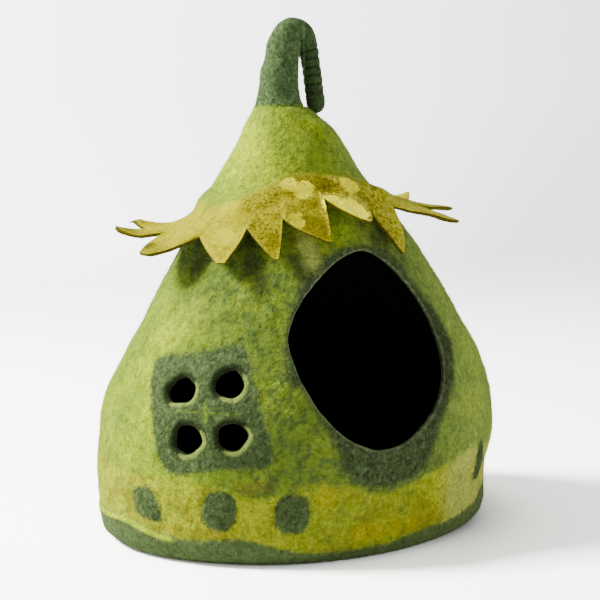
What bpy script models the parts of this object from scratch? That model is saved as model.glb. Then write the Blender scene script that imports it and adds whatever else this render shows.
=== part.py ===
"""Felt cat cave: a hollow wet-felted body with a door and four window holes, a ring of felt
leaves round its cone, a stem bent over into a hanging loop, and felt dots along its foot.

Metres, +Z up. The origin is on the floor under the middle of the body, and the door faces -Y.
A bearing is an angle round the body in degrees: 0 at the door (-Y), 90 at +X, 180 at the back.
"""

import math
from collections import namedtuple

import bpy
from mathutils import Vector

# --- driving sizes ---------------------------------------------------------------------------

WALL = 0.008  # felt of the body
SURFACE_CLEARANCE = 0.0008  # of a piece laid on the curved wall, which is faceted

BODY_COLUMNS = 56  # corners round the body
LONG_AXIS_BEARING = 107.0  # the oval plan is longest along this bearing
LEAN_BEARING = 65.0  # the body's middle drifts this way as it rises
FOOT_RISE = 0.024  # height of the rounded lower edge
FOOT_INSET = 0.021  # how far the flat underside stays inside the wall
FOOT_ROWS = 5
WALL_ROW_HEIGHT = 0.0165

# Outer sections of the body from the stem's seat down to the top of the rounded foot.
Section = namedtuple("Section", "height half_long half_short lean")
BODY_SECTIONS = (
    Section(0.4140, 0.0264, 0.0256, -0.0122),
    Section(0.4070, 0.0332, 0.0316, -0.0087),
    Section(0.3940, 0.0449, 0.0418, -0.0048),
    Section(0.3740, 0.0571, 0.0525, -0.0022),
    Section(0.3500, 0.0732, 0.0659, -0.0026),
    Section(0.3220, 0.0936, 0.0828, 0.0007),
    Section(0.2900, 0.1159, 0.1009, 0.0050),
    Section(0.2620, 0.1334, 0.1147, 0.0070),
    Section(0.2320, 0.1537, 0.1307, 0.0078),
    Section(0.2020, 0.1710, 0.1445, 0.0086),
    Section(0.1700, 0.1900, 0.1596, 0.0094),
    Section(0.1400, 0.2046, 0.1709, 0.0078),
    Section(0.1120, 0.2106, 0.1750, 0.0079),
    Section(0.0840, 0.2124, 0.1764, 0.0067),
    Section(0.0560, 0.2092, 0.1737, 0.0029),
    Section(0.0240, 0.2076, 0.1723, 0.0027),
)
STEM_SEAT_HEIGHT = BODY_SECTIONS[0].height

# Hand-felted unevenness of the wall: slow waves round and up the body.
Wave = namedtuple("Wave", "waves_round waves_per_metre phase depth")
WALL_WAVES = (
    Wave(3, 2.1, 0.6, 0.0006),
    Wave(5, 4.3, 2.1, 0.0005),
    Wave(8, 7.0, 4.4, 0.0004),
)
WAVE_FULL_RADIUS = 0.10  # the waves fade where the body is narrower than this

# Door: an egg-like outline in the plane of X and Z, cut straight in from the front.
DOOR_MIDDLE_X = 0.014
DOOR_MIDDLE_Z = 0.192
DOOR_HALF_WIDTH = 0.083
DOOR_HALF_HEIGHT = 0.088
DOOR_TILT = 7.0  # its top leans towards +X
DOOR_UPPER_POWER = 1.55  # 2 is an ellipse, less is more pointed
DOOR_LOWER_POWER = 1.80
DOOR_POINTS = 40
DOOR_CUT_FROM = -0.30
DOOR_CUT_TO = -0.02

# The four windows beside the door, cut square to the wall.
Window = namedtuple("Window", "name bearing height half_width half_height")
WINDOWS = (
    Window("upper_left", -60.1, 0.160, 0.0173, 0.0150),
    Window("upper_right", -46.4, 0.168, 0.0167, 0.0160),
    Window("lower_left", -55.3, 0.118, 0.0167, 0.0157),
    Window("lower_right", -43.4, 0.1225, 0.0166, 0.0146),
)
WINDOW_POINTS = 20
WINDOW_UNEVENNESS = 0.035  # of its radius, three times round
WINDOW_CUT_DEPTH = 0.030  # to each side of the wall

# Felt leaves, in order round the cone. Each starts at the notch before it. The ring lies on
# the cone from its top down over its hug, then it bends away. A lift is the distance of an edge
# from the wall behind it, a side power below 1 rounds a leaf's sides, and a curl turns its tip
# up, in degrees.
Leaf = namedtuple(
    "Leaf",
    "notch_bearing notch_height notch_lift top_height hug "
    "tip_bearing tip_height tip_lift tip_width side_power curl",
)
LEAVES = (
    Leaf(-142, 0.298, 0.016, 0.338, 0.020, -130, 0.298, 0.072, 0.008, 0.90, 45),
    Leaf(-118, 0.294, 0.018, 0.338, 0.023, -107, 0.295, 0.070, 0.012, 0.85, 34),
    Leaf(-96, 0.292, 0.022, 0.336, 0.023, -82, 0.275, 0.049, 0.030, 0.65, 8),
    Leaf(-70, 0.292, 0.014, 0.332, 0.018, -55, 0.270, 0.017, 0.012, 0.85, 0),
    Leaf(-47, 0.301, 0.016, 0.339, 0.018, -33, 0.275, 0.016, 0.008, 0.90, 0),
    Leaf(-31, 0.311, 0.016, 0.351, 0.018, -12, 0.289, 0.023, 0.007, 0.90, 0),
    Leaf(-7, 0.328, 0.012, 0.354, 0.014, 9, 0.306, 0.025, 0.007, 0.90, 4),
    Leaf(23, 0.321, 0.007, 0.351, 0.012, 29, 0.274, 0.010, 0.006, 0.80, 0),
    Leaf(46, 0.320, 0.010, 0.346, 0.007, 60, 0.300, 0.057, 0.006, 0.90, 0),
    Leaf(72, 0.314, 0.022, 0.338, 0.006, 85, 0.307, 0.068, 0.007, 0.90, 0),
    Leaf(97, 0.314, 0.022, 0.338, 0.008, 108, 0.320, 0.070, 0.008, 0.90, 20),
    Leaf(121, 0.309, 0.018, 0.340, 0.012, 133, 0.296, 0.055, 0.009, 0.90, 10),
    Leaf(146, 0.305, 0.016, 0.337, 0.014, 159, 0.280, 0.034, 0.011, 0.85, 4),
    Leaf(171, 0.304, 0.015, 0.339, 0.015, 184, 0.276, 0.030, 0.008, 0.90, 0),
    Leaf(195, 0.302, 0.016, 0.336, 0.016, 207, 0.284, 0.046, 0.010, 0.85, 8),
)
LEAF_THICKNESS = 0.0034
LEAF_TOP_THICKNESS_SHARE = 0.30  # the upper edge is felted thin onto the cone
LEAF_THIN_ROWS = 3  # rows over which the ring thickens
LEAF_SIDE_STEPS = 3  # columns from a notch to its tip
LEAF_BEND_ROWS = 6  # rows from the end of the hug to the edge
LEAF_START_REACH = 0.004  # how far the cone's slope carries on into the bend, and
LEAF_START_HUG_SHARE = 0.55  # this share of the hug more: a long hug ends in a soft bend
LEAF_END_SHARE = 0.38  # share of the leaf's length that the tip's direction carries
LEAF_ARCH = 0.4  # 0 makes the outer part straight, 1 a round arc
LEAF_CURL_POWER = 3.0  # how closely a curl keeps to the tip
LEAF_DIP_PER_CURL = 0.00015  # how far the sides of a curled leaf dip before its tip rises

# The stem: its middle line as right and back of the view from one bearing, height and radius.
STEM_VIEW_BEARING = -25.0
StemPoint = namedtuple("StemPoint", "right back height radius")
STEM_POINTS = (
    StemPoint(-0.0140, 0.000, 0.4143, 0.0243),
    StemPoint(-0.0142, 0.000, 0.4185, 0.0224),
    StemPoint(-0.0144, 0.000, 0.4250, 0.0207),
    StemPoint(-0.0142, 0.000, 0.4350, 0.0193),
    StemPoint(-0.0130, 0.000, 0.4480, 0.0181),
    StemPoint(-0.0111, 0.001, 0.4600, 0.0173),
    StemPoint(-0.0091, 0.002, 0.4725, 0.0167),
    StemPoint(-0.0053, 0.005, 0.4835, 0.0149),
    StemPoint(0.0018, 0.010, 0.4877, 0.0131),
    StemPoint(0.0088, 0.015, 0.4842, 0.0118),
    StemPoint(0.0142, 0.019, 0.4730, 0.0104),
    StemPoint(0.0172, 0.021, 0.4590, 0.0096),
    StemPoint(0.0193, 0.021, 0.4450, 0.0093),
    StemPoint(0.0210, 0.020, 0.4310, 0.0092),
    StemPoint(0.0226, 0.0175, 0.4160, 0.0090),
)
STEM_SIDES = 16
STEM_STEPS = 2  # rings from one point to the next
STEM_TIP_RINGS = 3

# Pre-felt dots, by the place of each middle. The last six go on round the back.
Dot = namedtuple("Dot", "bearing height radius")
DOTS = (
    Dot(-66.1, 0.0540, 0.0163),
    Dot(-45.2, 0.0540, 0.0163),
    Dot(-26.0, 0.0520, 0.0168),
    Dot(49.0, 0.0650, 0.0146),
    Dot(86.0, 0.057, 0.0165),
    Dot(118.0, 0.054, 0.0170),
    Dot(144.0, 0.055, 0.0160),
    Dot(170.0, 0.054, 0.0168),
    Dot(196.0, 0.056, 0.0172),
    Dot(222.0, 0.053, 0.0165),
    Dot(248.0, 0.059, 0.0160),
)
DOT_THICKNESS = 0.0024
DOT_SIDES = 16
# Rings of a dot from its inner face over the edge to its outer face, as shares of its radius
# and of its thickness.
DotRing = namedtuple("DotRing", "radius_share thickness_share")
DOT_RINGS = (
    DotRing(0.55, 0.0),
    DotRing(0.93, 0.0),
    DotRing(1.0, 0.45),
    DotRing(0.86, 0.92),
    DotRing(0.5, 1.0),
)

# --- colours ---------------------------------------------------------------------------------

FELT_ROUGHNESS = 0.95
FELT_COLOURS = {
    "green_felt": (0.33, 0.39, 0.06),
    "mustard_felt": (0.48, 0.42, 0.07),
    "sage_felt": (0.10, 0.15, 0.05),
}


# --- helpers ---------------------------------------------------------------------------------


def clear_scene():
    for obj in list(bpy.data.objects):
        bpy.data.objects.remove(obj, do_unlink=True)


def felt(name):
    material = bpy.data.materials.new(name)
    material.use_nodes = True
    shader = material.node_tree.nodes["Principled BSDF"]
    shader.inputs["Base Color"].default_value = (*FELT_COLOURS[name], 1.0)
    shader.inputs["Roughness"].default_value = FELT_ROUGHNESS
    shader.inputs["Metallic"].default_value = 0.0
    return material


def add_object(name, points, faces, material=None):
    """A smooth-shaded mesh object in the scene's collection."""
    mesh = bpy.data.meshes.new(name)
    mesh.from_pydata([tuple(p) for p in points], [], faces)
    mesh.validate()
    mesh.shade_smooth()
    obj = bpy.data.objects.new(name, mesh)
    bpy.context.scene.collection.objects.link(obj)
    if material:
        mesh.materials.append(material)
    return obj


def heading(bearing):
    """The level unit vector that points out of the body at a bearing."""
    angle = math.radians(bearing)
    return Vector((math.sin(angle), -math.cos(angle), 0.0))


def smooth_value(places, values, at):
    """A smooth curve through values at rising places (cubic, with the slopes of its chords)."""
    last = len(places) - 1
    at = min(max(at, places[0]), places[last])
    i = 0
    while i < last - 1 and at > places[i + 1]:
        i += 1

    def slope(k):
        low, high = max(k - 1, 0), min(k + 1, last)
        return (values[high] - values[low]) / (places[high] - places[low])

    step = places[i + 1] - places[i]
    t = (at - places[i]) / step
    return (
        (2 * t**3 - 3 * t**2 + 1) * values[i]
        + (t**3 - 2 * t**2 + t) * step * slope(i)
        + (3 * t**2 - 2 * t**3) * values[i + 1]
        + (t**3 - t**2) * step * slope(i + 1)
    )


def skin(rings, closed_ends=True):
    """Points and faces of a tube through rings of equal count, its ends closed by one face."""
    count = len(rings[0])
    points = [p for ring in rings for p in ring]
    faces = []
    for row in range(len(rings) - 1):
        for k in range(count):
            after = (k + 1) % count
            a = row * count + k
            b = row * count + after
            faces.append((a, b, b + count, a + count))
    if closed_ends:
        faces.append(tuple(reversed(range(count))))
        faces.append(tuple(range((len(rings) - 1) * count, len(rings) * count)))
    return points, faces


# --- the body's outer surface ----------------------------------------------------------------


def body_section(height):
    """Half-axes and lean of the body at a height on its wall."""
    rows = BODY_SECTIONS[::-1]
    heights = [row.height for row in rows]
    half_long = smooth_value(heights, [row.half_long for row in rows], height)
    half_short = smooth_value(heights, [row.half_short for row in rows], height)
    lean = smooth_value(heights, [row.lean for row in rows], height)
    return half_long, half_short, lean


def wall_unevenness(bearing, height):
    angle = math.radians(bearing)
    total = 0.0
    for wave in WALL_WAVES:
        turn = wave.waves_round * angle + math.tau * wave.waves_per_metre * height
        total += wave.depth * math.sin(turn + wave.phase)
    return total


def wall_point(bearing, height, inset=0.0):
    """A point on the wall at a bearing round the section's own middle."""
    half_long, half_short, lean = body_section(height)
    turn = math.radians(bearing - LONG_AXIS_BEARING)
    along = math.cos(turn) / (half_long - inset)
    across = math.sin(turn) / (half_short - inset)
    radius = 1.0 / math.hypot(along, across)
    radius += wall_unevenness(bearing, height) * min(1.0, radius / WAVE_FULL_RADIUS)
    point = heading(LEAN_BEARING) * lean + heading(bearing) * radius
    point.z = height
    return point


def wall_normal(bearing, height):
    """The wall's outward direction, from two short steps along it."""
    across = wall_point(bearing + 1, height) - wall_point(bearing - 1, height)
    up = wall_point(bearing, height + 0.002) - wall_point(bearing, height - 0.002)
    return across.cross(up).normalized()


def body_rings():
    """Rings of the outer surface from the flat underside up to the stem's seat."""
    bearings = [360.0 * k / BODY_COLUMNS for k in range(BODY_COLUMNS)]
    rings = []
    for row in range(FOOT_ROWS):
        angle = 0.5 * math.pi * (1 - row / FOOT_ROWS)
        inset = FOOT_INSET * (1 - math.cos(angle))
        height = FOOT_RISE * (1 - math.sin(angle))
        ring = [wall_point(b, FOOT_RISE, inset) for b in bearings]
        for point in ring:
            point.z = height
        rings.append(ring)
    rise = STEM_SEAT_HEIGHT - FOOT_RISE
    rows = round(rise / WALL_ROW_HEIGHT)
    for row in range(rows + 1):
        height = FOOT_RISE + rise * row / rows
        rings.append([wall_point(b, height) for b in bearings])
    return rings


def make_body():
    """The hollow body: outer skin, thickened inwards, with the door and windows cut out."""
    points, faces = skin(body_rings())
    body = add_object("felt_shell", points, faces, felt("green_felt"))
    wall = body.modifiers.new("wall", "SOLIDIFY")
    wall.thickness = WALL
    wall.offset = -1.0
    wall.use_even_offset = True
    for cutter in [make_door_cutter()] + [make_window_cutter(window) for window in WINDOWS]:
        cut = body.modifiers.new(cutter.name, "BOOLEAN")
        cut.operation = "DIFFERENCE"
        cut.solver = "EXACT"
        cut.object = cutter


def add_cutter(name, rings):
    points, faces = skin(rings)
    cutter = add_object(name, points, faces)
    cutter.hide_render = True
    cutter.display_type = "WIRE"
    return cutter


def door_outline():
    """Points (x, z) round the door, from an oval with its own power above and below."""
    turn = math.radians(DOOR_TILT)
    outline = []
    for k in range(DOOR_POINTS):
        angle = math.tau * k / DOOR_POINTS
        across, up = math.sin(angle), math.cos(angle)
        power = DOOR_UPPER_POWER if up > 0 else DOOR_LOWER_POWER
        reach = (abs(across) ** power + abs(up) ** power) ** (-1 / power)
        x = DOOR_HALF_WIDTH * across * reach
        z = DOOR_HALF_HEIGHT * up * reach
        tilted_x = DOOR_MIDDLE_X + x * math.cos(turn) + z * math.sin(turn)
        tilted_z = DOOR_MIDDLE_Z + z * math.cos(turn) - x * math.sin(turn)
        outline.append((tilted_x, tilted_z))
    return outline


def make_door_cutter():
    outline = door_outline()
    rings = [[Vector((x, y, z)) for x, z in outline] for y in (DOOR_CUT_FROM, DOOR_CUT_TO)]
    return add_cutter("door_cutter", rings)


def make_window_cutter(window):
    middle = wall_point(window.bearing, window.height)
    out = wall_normal(window.bearing, window.height)
    across = Vector((0, 0, 1)).cross(out).normalized()
    up = out.cross(across)
    rings = []
    for depth in (-WINDOW_CUT_DEPTH, WINDOW_CUT_DEPTH):
        ring = []
        for k in range(WINDOW_POINTS):
            angle = math.tau * k / WINDOW_POINTS
            reach = 1 + WINDOW_UNEVENNESS * math.sin(3 * angle + window.bearing)
            spoke = across * window.half_width * math.cos(angle)
            spoke += up * window.half_height * math.sin(angle)
            ring.append(middle + spoke * reach + out * depth)
        rings.append(ring)
    return add_cutter("window_cutter_" + window.name, rings)


# --- the ring of leaves ----------------------------------------------------------------------

# One point of the ring's outer edge.
Edge = namedtuple("Edge", "bearing height lift curl")


def side_point(notch, tip, share, power):
    """An edge point on the way from a notch to a tip."""
    bent = share**power
    dip = LEAF_DIP_PER_CURL * tip.curl * math.sin(math.pi * share)
    return Edge(
        notch.bearing + (tip.bearing - notch.bearing) * share,
        notch.height + (tip.height - notch.height) * bent - dip,
        notch.lift + (tip.lift - notch.lift) * bent,
        tip.curl * share**LEAF_CURL_POWER,
    )


def leaf_edge_points():
    """The outer edge, one point for each column of the ring: in at a notch, out at a tip."""
    edges = []
    shares = [k / LEAF_SIDE_STEPS for k in range(LEAF_SIDE_STEPS)]
    for leaf, following in zip(LEAVES, LEAVES[1:] + LEAVES[:1]):
        next_bearing = following.notch_bearing
        if next_bearing < leaf.notch_bearing:
            next_bearing += 360
        half = 0.5 * leaf.tip_width / wall_point(leaf.tip_bearing, leaf.tip_height).length
        half = math.degrees(half)
        notch = Edge(leaf.notch_bearing, leaf.notch_height, leaf.notch_lift, 0.0)
        next_notch = Edge(next_bearing, following.notch_height, following.notch_lift, 0.0)
        near_tip = Edge(leaf.tip_bearing - half, leaf.tip_height, leaf.tip_lift, leaf.curl)
        far_tip = near_tip._replace(bearing=leaf.tip_bearing + half)
        edges += [side_point(notch, near_tip, share, leaf.side_power) for share in shares]
        edges += [near_tip, far_tip]
        far_side = [side_point(next_notch, far_tip, share, leaf.side_power) for share in shares]
        edges += far_side[:0:-1]
    return edges


def round_the_ring(values, bearing):
    """A smooth value at a bearing, from one value at each leaf's notch."""
    places = [leaf.notch_bearing + turn for turn in (-360, 0, 360) for leaf in LEAVES]
    return smooth_value(places, list(values) * 3, bearing)


def seat_on_wall(point, bearing):
    """The point, moved out where it would come nearer the wall than a laid piece may."""
    height = min(max(point.z, FOOT_RISE), STEM_SEAT_HEIGHT)
    wall = wall_point(bearing, height) + wall_normal(bearing, height) * SURFACE_CLEARANCE
    outward = heading(bearing)
    short = (wall - point).dot(outward)
    return point + outward * max(short, 0.0)


def fall_of(direction, outward):
    """The angle of a direction below level, seen along the wall."""
    return math.atan2(-direction.z, direction.dot(outward))


def leaf_column(edge):
    """Points from the ring's upper edge down over the hug and along the bend to the edge."""
    top_height = round_the_ring([leaf.top_height for leaf in LEAVES], edge.bearing)
    hug = round_the_ring([leaf.hug for leaf in LEAVES], edge.bearing)
    outward = heading(edge.bearing)
    top = wall_point(edge.bearing, top_height)
    knee = wall_point(edge.bearing, top_height - hug)
    end = wall_point(edge.bearing, edge.height) + outward * edge.lift
    start = (knee - top).normalized()
    chord = end - knee
    fall = fall_of(chord, outward)
    end_fall = fall - LEAF_ARCH * (fall_of(start, outward) - fall) - math.radians(edge.curl)
    finish = outward * math.cos(end_fall) - Vector((0, 0, 1)) * math.sin(end_fall)
    end_reach = chord.length * LEAF_END_SHARE
    start_reach = LEAF_START_REACH + LEAF_START_HUG_SHARE * hug
    controls = (knee, knee + start * start_reach, end - finish * end_reach, end)
    column = [top]
    for row in range(LEAF_BEND_ROWS + 1):
        t = row / LEAF_BEND_ROWS
        weights = ((1 - t) ** 3, 3 * t * (1 - t) ** 2, 3 * t * t * (1 - t), t**3)
        point = Vector((0, 0, 0))
        for weight, control in zip(weights, controls):
            point += control * weight
        column.append(point)
    return [seat_on_wall(point, edge.bearing) for point in column]


def make_leaf_collar():
    """The ring of leaves: a sheet over the cone, thickened outwards, thin at its upper edge."""
    columns = [leaf_column(edge) for edge in leaf_edge_points()]
    rings = [list(ring) for ring in zip(*columns)]
    rings.reverse()
    points, faces = skin(rings, closed_ends=False)
    collar = add_object("leaf_collar", points, faces, felt("mustard_felt"))
    full = collar.vertex_groups.new(name="full_thickness")
    count = len(columns)
    for row in range(len(rings)):
        from_top = len(rings) - 1 - row
        thickening = (1 - LEAF_TOP_THICKNESS_SHARE) * min(1.0, from_top / LEAF_THIN_ROWS)
        share = LEAF_TOP_THICKNESS_SHARE + thickening
        full.add(list(range(row * count, (row + 1) * count)), share, "REPLACE")
    sheet = collar.modifiers.new("thickness", "SOLIDIFY")
    sheet.thickness = LEAF_THICKNESS
    sheet.offset = 1.0
    sheet.vertex_group = full.name


# --- the stem --------------------------------------------------------------------------------


def stem_value(field, at):
    """One column of the stem's table, smooth along the stem: a whole number is a point."""
    places = list(range(len(STEM_POINTS)))
    return smooth_value(places, [getattr(point, field) for point in STEM_POINTS], at)


def stem_middle(at):
    right = heading(STEM_VIEW_BEARING + 90)
    back = -heading(STEM_VIEW_BEARING)
    middle = right * stem_value("right", at) + back * stem_value("back", at)
    middle.z = stem_value("height", at)
    return middle


def stem_direction(at):
    if at == 0:
        return Vector((0, 0, 1))  # the root sits square on its flat seat
    last = len(STEM_POINTS) - 1
    step = 0.05
    return (stem_middle(min(at + step, last)) - stem_middle(at - step)).normalized()


def stem_rings():
    """Rings along the stem, each square to its middle line, ending in a rounded tip."""
    last = len(STEM_POINTS) - 1
    side = heading(STEM_VIEW_BEARING + 90)
    rings = []
    for k in range(last * STEM_STEPS + 1):
        at = k / STEM_STEPS
        along = stem_direction(at)
        side = (side - along * side.dot(along)).normalized()
        rings.append(round_ring(stem_middle(at), side, along.cross(side), stem_value("radius", at)))
    tip_radius = STEM_POINTS[-1].radius
    for k in range(1, STEM_TIP_RINGS + 1):
        angle = 0.5 * math.pi * k / (STEM_TIP_RINGS + 0.5)
        centre = stem_middle(last) + along * tip_radius * math.sin(angle)
        rings.append(round_ring(centre, side, along.cross(side), tip_radius * math.cos(angle)))
    return rings


def round_ring(centre, across, up, radius):
    ring = []
    for k in range(STEM_SIDES):
        angle = math.tau * k / STEM_SIDES
        ring.append(centre + (across * math.cos(angle) + up * math.sin(angle)) * radius)
    return ring


def make_stem():
    points, faces = skin(stem_rings())
    add_object("stem_loop", points, faces, felt("sage_felt"))


# --- the dots --------------------------------------------------------------------------------


def dot_point(dot, ring, angle):
    """A point of a dot, laid on the wall, at an angle round one of its rings."""
    radius = wall_point(dot.bearing, dot.height).length
    across = dot.radius * ring.radius_share * math.sin(angle)
    up = dot.radius * ring.radius_share * math.cos(angle)
    bearing = dot.bearing - math.degrees(across / radius)
    height = dot.height + up
    lifted = SURFACE_CLEARANCE + ring.thickness_share * DOT_THICKNESS
    return wall_point(bearing, height) + wall_normal(bearing, height) * lifted


def make_dots():
    material = felt("sage_felt")
    angles = [math.tau * k / DOT_SIDES for k in range(DOT_SIDES)]
    for number, dot in enumerate(DOTS, start=1):
        rings = [[dot_point(dot, ring, angle) for angle in angles] for ring in DOT_RINGS]
        points, faces = skin(rings)
        add_object(f"dot_{number:02d}", points, faces, material)


clear_scene()
make_body()
make_leaf_collar()
make_stem()
make_dots()
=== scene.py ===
import itertools
import math
from collections import namedtuple

import bmesh
import bpy
import numpy as np
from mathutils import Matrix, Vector


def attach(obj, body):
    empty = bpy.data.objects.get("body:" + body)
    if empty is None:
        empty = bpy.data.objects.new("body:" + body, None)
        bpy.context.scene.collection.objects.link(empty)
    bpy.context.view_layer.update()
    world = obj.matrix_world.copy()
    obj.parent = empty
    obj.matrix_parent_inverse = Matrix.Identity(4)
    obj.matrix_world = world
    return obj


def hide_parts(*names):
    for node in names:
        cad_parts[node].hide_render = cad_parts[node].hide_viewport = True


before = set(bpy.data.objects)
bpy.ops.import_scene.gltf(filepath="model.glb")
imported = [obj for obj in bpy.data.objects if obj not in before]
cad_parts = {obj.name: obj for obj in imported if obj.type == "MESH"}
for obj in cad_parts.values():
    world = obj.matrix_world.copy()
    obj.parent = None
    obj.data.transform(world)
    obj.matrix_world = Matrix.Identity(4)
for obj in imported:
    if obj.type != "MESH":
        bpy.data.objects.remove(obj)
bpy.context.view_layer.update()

RIGHT = np.array([1.0, 0, 0])
UP = np.array([0, 0, 1.0])
MM_PER_M = 1000

# --- sizes shared with the part's source (metres) ---------------------------------------------

WALL = 0.008  # felt of the body
LONG_AXIS_BEARING = 107.0
LEAN_BEARING = 65.0
FOOT_RISE = 0.024
FOOT_INSET = 0.021

Section = namedtuple("Section", "height half_long half_short lean")
BODY_SECTIONS = (
    Section(0.4140, 0.0264, 0.0256, -0.0122),
    Section(0.4070, 0.0332, 0.0316, -0.0087),
    Section(0.3940, 0.0449, 0.0418, -0.0048),
    Section(0.3740, 0.0571, 0.0525, -0.0022),
    Section(0.3500, 0.0732, 0.0659, -0.0026),
    Section(0.3220, 0.0936, 0.0828, 0.0007),
    Section(0.2900, 0.1159, 0.1009, 0.0050),
    Section(0.2620, 0.1334, 0.1147, 0.0070),
    Section(0.2320, 0.1537, 0.1307, 0.0078),
    Section(0.2020, 0.1710, 0.1445, 0.0086),
    Section(0.1700, 0.1900, 0.1596, 0.0094),
    Section(0.1400, 0.2046, 0.1709, 0.0078),
    Section(0.1120, 0.2106, 0.1750, 0.0079),
    Section(0.0840, 0.2124, 0.1764, 0.0067),
    Section(0.0560, 0.2092, 0.1737, 0.0029),
    Section(0.0240, 0.2076, 0.1723, 0.0027),
)
STEM_SEAT_HEIGHT = BODY_SECTIONS[0].height

Wave = namedtuple("Wave", "waves_round waves_per_metre phase depth")
WALL_WAVES = (
    Wave(3, 2.1, 0.6, 0.0006),
    Wave(5, 4.3, 2.1, 0.0005),
    Wave(8, 7.0, 4.4, 0.0004),
)
WAVE_FULL_RADIUS = 0.10
SLOPE_BEARING = 1.0  # how far to each side, and up and down, the wall's slope is taken
SLOPE_HEIGHT = 0.002

DOOR_MIDDLE = (0.014, 0.192)
DOOR_HALF_WIDTH = 0.083
DOOR_HALF_HEIGHT = 0.088
DOOR_TILT = 7.0
DOOR_UPPER_POWER = 1.55
DOOR_LOWER_POWER = 1.80
DOOR_FRONT = np.array([0, -0.15, 0])
DOOR_REACH = 0.08  # how deep behind its middle an opening still cuts

Window = namedtuple("Window", "bearing height half_width half_height")
WINDOWS = (
    Window(-60.1, 0.160, 0.0173, 0.0150),
    Window(-46.4, 0.168, 0.0167, 0.0160),
    Window(-55.3, 0.118, 0.0167, 0.0157),
    Window(-43.4, 0.1225, 0.0166, 0.0146),
)
WINDOW_UNEVENNESS = 0.035  # of its size, three times round
WINDOW_FINE_UNEVENNESS = 0.02  # five times round
WINDOW_NARROWED = 0.0006
WINDOW_REACH = 0.03

Leaf = namedtuple(
    "Leaf",
    "notch_bearing notch_height notch_lift top_height hug "
    "tip_bearing tip_height tip_lift tip_width side_power curl",
)
LEAVES = (
    Leaf(-142, 0.298, 0.016, 0.338, 0.020, -130, 0.298, 0.074, 0.010, 0.90, 45),
    Leaf(-118, 0.294, 0.018, 0.338, 0.023, -107, 0.295, 0.073, 0.018, 0.85, 34),
    Leaf(-96, 0.292, 0.022, 0.336, 0.023, -82, 0.275, 0.049, 0.030, 0.65, 8),
    Leaf(-70, 0.292, 0.014, 0.332, 0.018, -55, 0.270, 0.017, 0.017, 1.00, 0),
    Leaf(-47, 0.301, 0.016, 0.339, 0.018, -34, 0.275, 0.016, 0.008, 0.95, 0),
    Leaf(-31, 0.311, 0.016, 0.351, 0.018, -12, 0.289, 0.023, 0.009, 0.90, 0),
    Leaf(-7, 0.328, 0.012, 0.354, 0.014, 11, 0.306, 0.025, 0.011, 0.90, 4),
    Leaf(23, 0.321, 0.007, 0.351, 0.012, 29, 0.274, 0.010, 0.006, 0.80, 0),
    Leaf(46, 0.316, 0.010, 0.346, 0.007, 60, 0.300, 0.057, 0.009, 0.90, 0),
    Leaf(72, 0.314, 0.022, 0.338, 0.006, 85, 0.307, 0.068, 0.010, 0.90, 0),
    Leaf(97, 0.314, 0.022, 0.338, 0.008, 108, 0.320, 0.070, 0.008, 0.90, 20),
    Leaf(121, 0.309, 0.018, 0.340, 0.012, 133, 0.296, 0.055, 0.009, 0.90, 10),
    Leaf(146, 0.305, 0.016, 0.337, 0.014, 159, 0.280, 0.034, 0.011, 0.85, 4),
    Leaf(171, 0.304, 0.015, 0.339, 0.015, 184, 0.276, 0.030, 0.008, 0.90, 0),
    Leaf(195, 0.302, 0.016, 0.336, 0.016, 207, 0.284, 0.046, 0.010, 0.85, 8),
)
LEAF_THICKNESS = 0.0048
LEAF_START_REACH = 0.004
LEAF_START_HUG_SHARE = 0.55
LEAF_END_SHARE = 0.38
LEAF_ARCH = 0.4
LEAF_CURL_POWER = 3.0
LEAF_DIP_PER_CURL = 0.00015
LEAF_CLEARANCE = 0.0008
LEAF_FOLD = 0.0030  # how far a leaf's far side stands out from its near side
FOLDED_LEAF = 7  # the leaf that is folded in full, the others a quarter of it
LEAF_THIN_SHARE = 0.10  # of its thickness at the collar's upper edge, felted thin onto the cone
LEAF_FULL_FROM = 0.020
LEAF_SUNK = 0.0016  # how far the upper edge, and then the outer part, is set in to the cone
LEAF_SUNK_OUT = 0.0008
LEAF_EDGE_ROUND = 0.0040  # how far from its edge a leaf starts to round over, and by how much
LEAF_OVER_ROUND = 0.24
LEAF_UNDER_ROUND = 0.20
LEAF_RIM_SHARE = 0.58
LEAF_RIM_REACH = 0.0010
LEAF_RIM = 0.0012  # width of the paler edge

STEM_VIEW_BEARING = -25.0
StemPoint = namedtuple("StemPoint", "right back height radius")
STEM_POINTS = (
    StemPoint(-0.0140, 0.000, 0.4143, 0.0243),
    StemPoint(-0.0142, 0.000, 0.4185, 0.0224),
    StemPoint(-0.0144, 0.000, 0.4250, 0.0207),
    StemPoint(-0.0142, 0.000, 0.4350, 0.0193),
    StemPoint(-0.0130, 0.000, 0.4480, 0.0181),
    StemPoint(-0.0111, 0.001, 0.4600, 0.0173),
    StemPoint(-0.0091, 0.002, 0.4725, 0.0167),
    StemPoint(-0.0053, 0.005, 0.4835, 0.0149),
    StemPoint(0.0018, 0.010, 0.4877, 0.0131),
    StemPoint(0.0088, 0.015, 0.4842, 0.0118),
    StemPoint(0.0142, 0.019, 0.4730, 0.0104),
    StemPoint(0.0172, 0.021, 0.4590, 0.0096),
    StemPoint(0.0193, 0.021, 0.4450, 0.0093),
    StemPoint(0.0210, 0.020, 0.4310, 0.0092),
    StemPoint(0.0226, 0.0175, 0.4160, 0.0090),
)
STEM_FOLDS = (0.4700, 0.4615, 0.4525, 0.4440, 0.4350, 0.4265)  # heights, on the hanging end
STEM_HANG_FROM = 9.6  # number along the points
STEM_ROOT_POINTS = 4
FOLD_HALF_WIDTH = 0.0013
FOLD_DEPTH = 0.105  # of the radius
STEM_SUNK = 0.0030  # how deep its foot is felted into the cone
STEM_TIP_REACH = 0.0008
CONE_FOOT_TOP = 0.4150
TAIL_PALE_EDGE = 0.0110  # how far right the tail's pale edge runs
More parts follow.
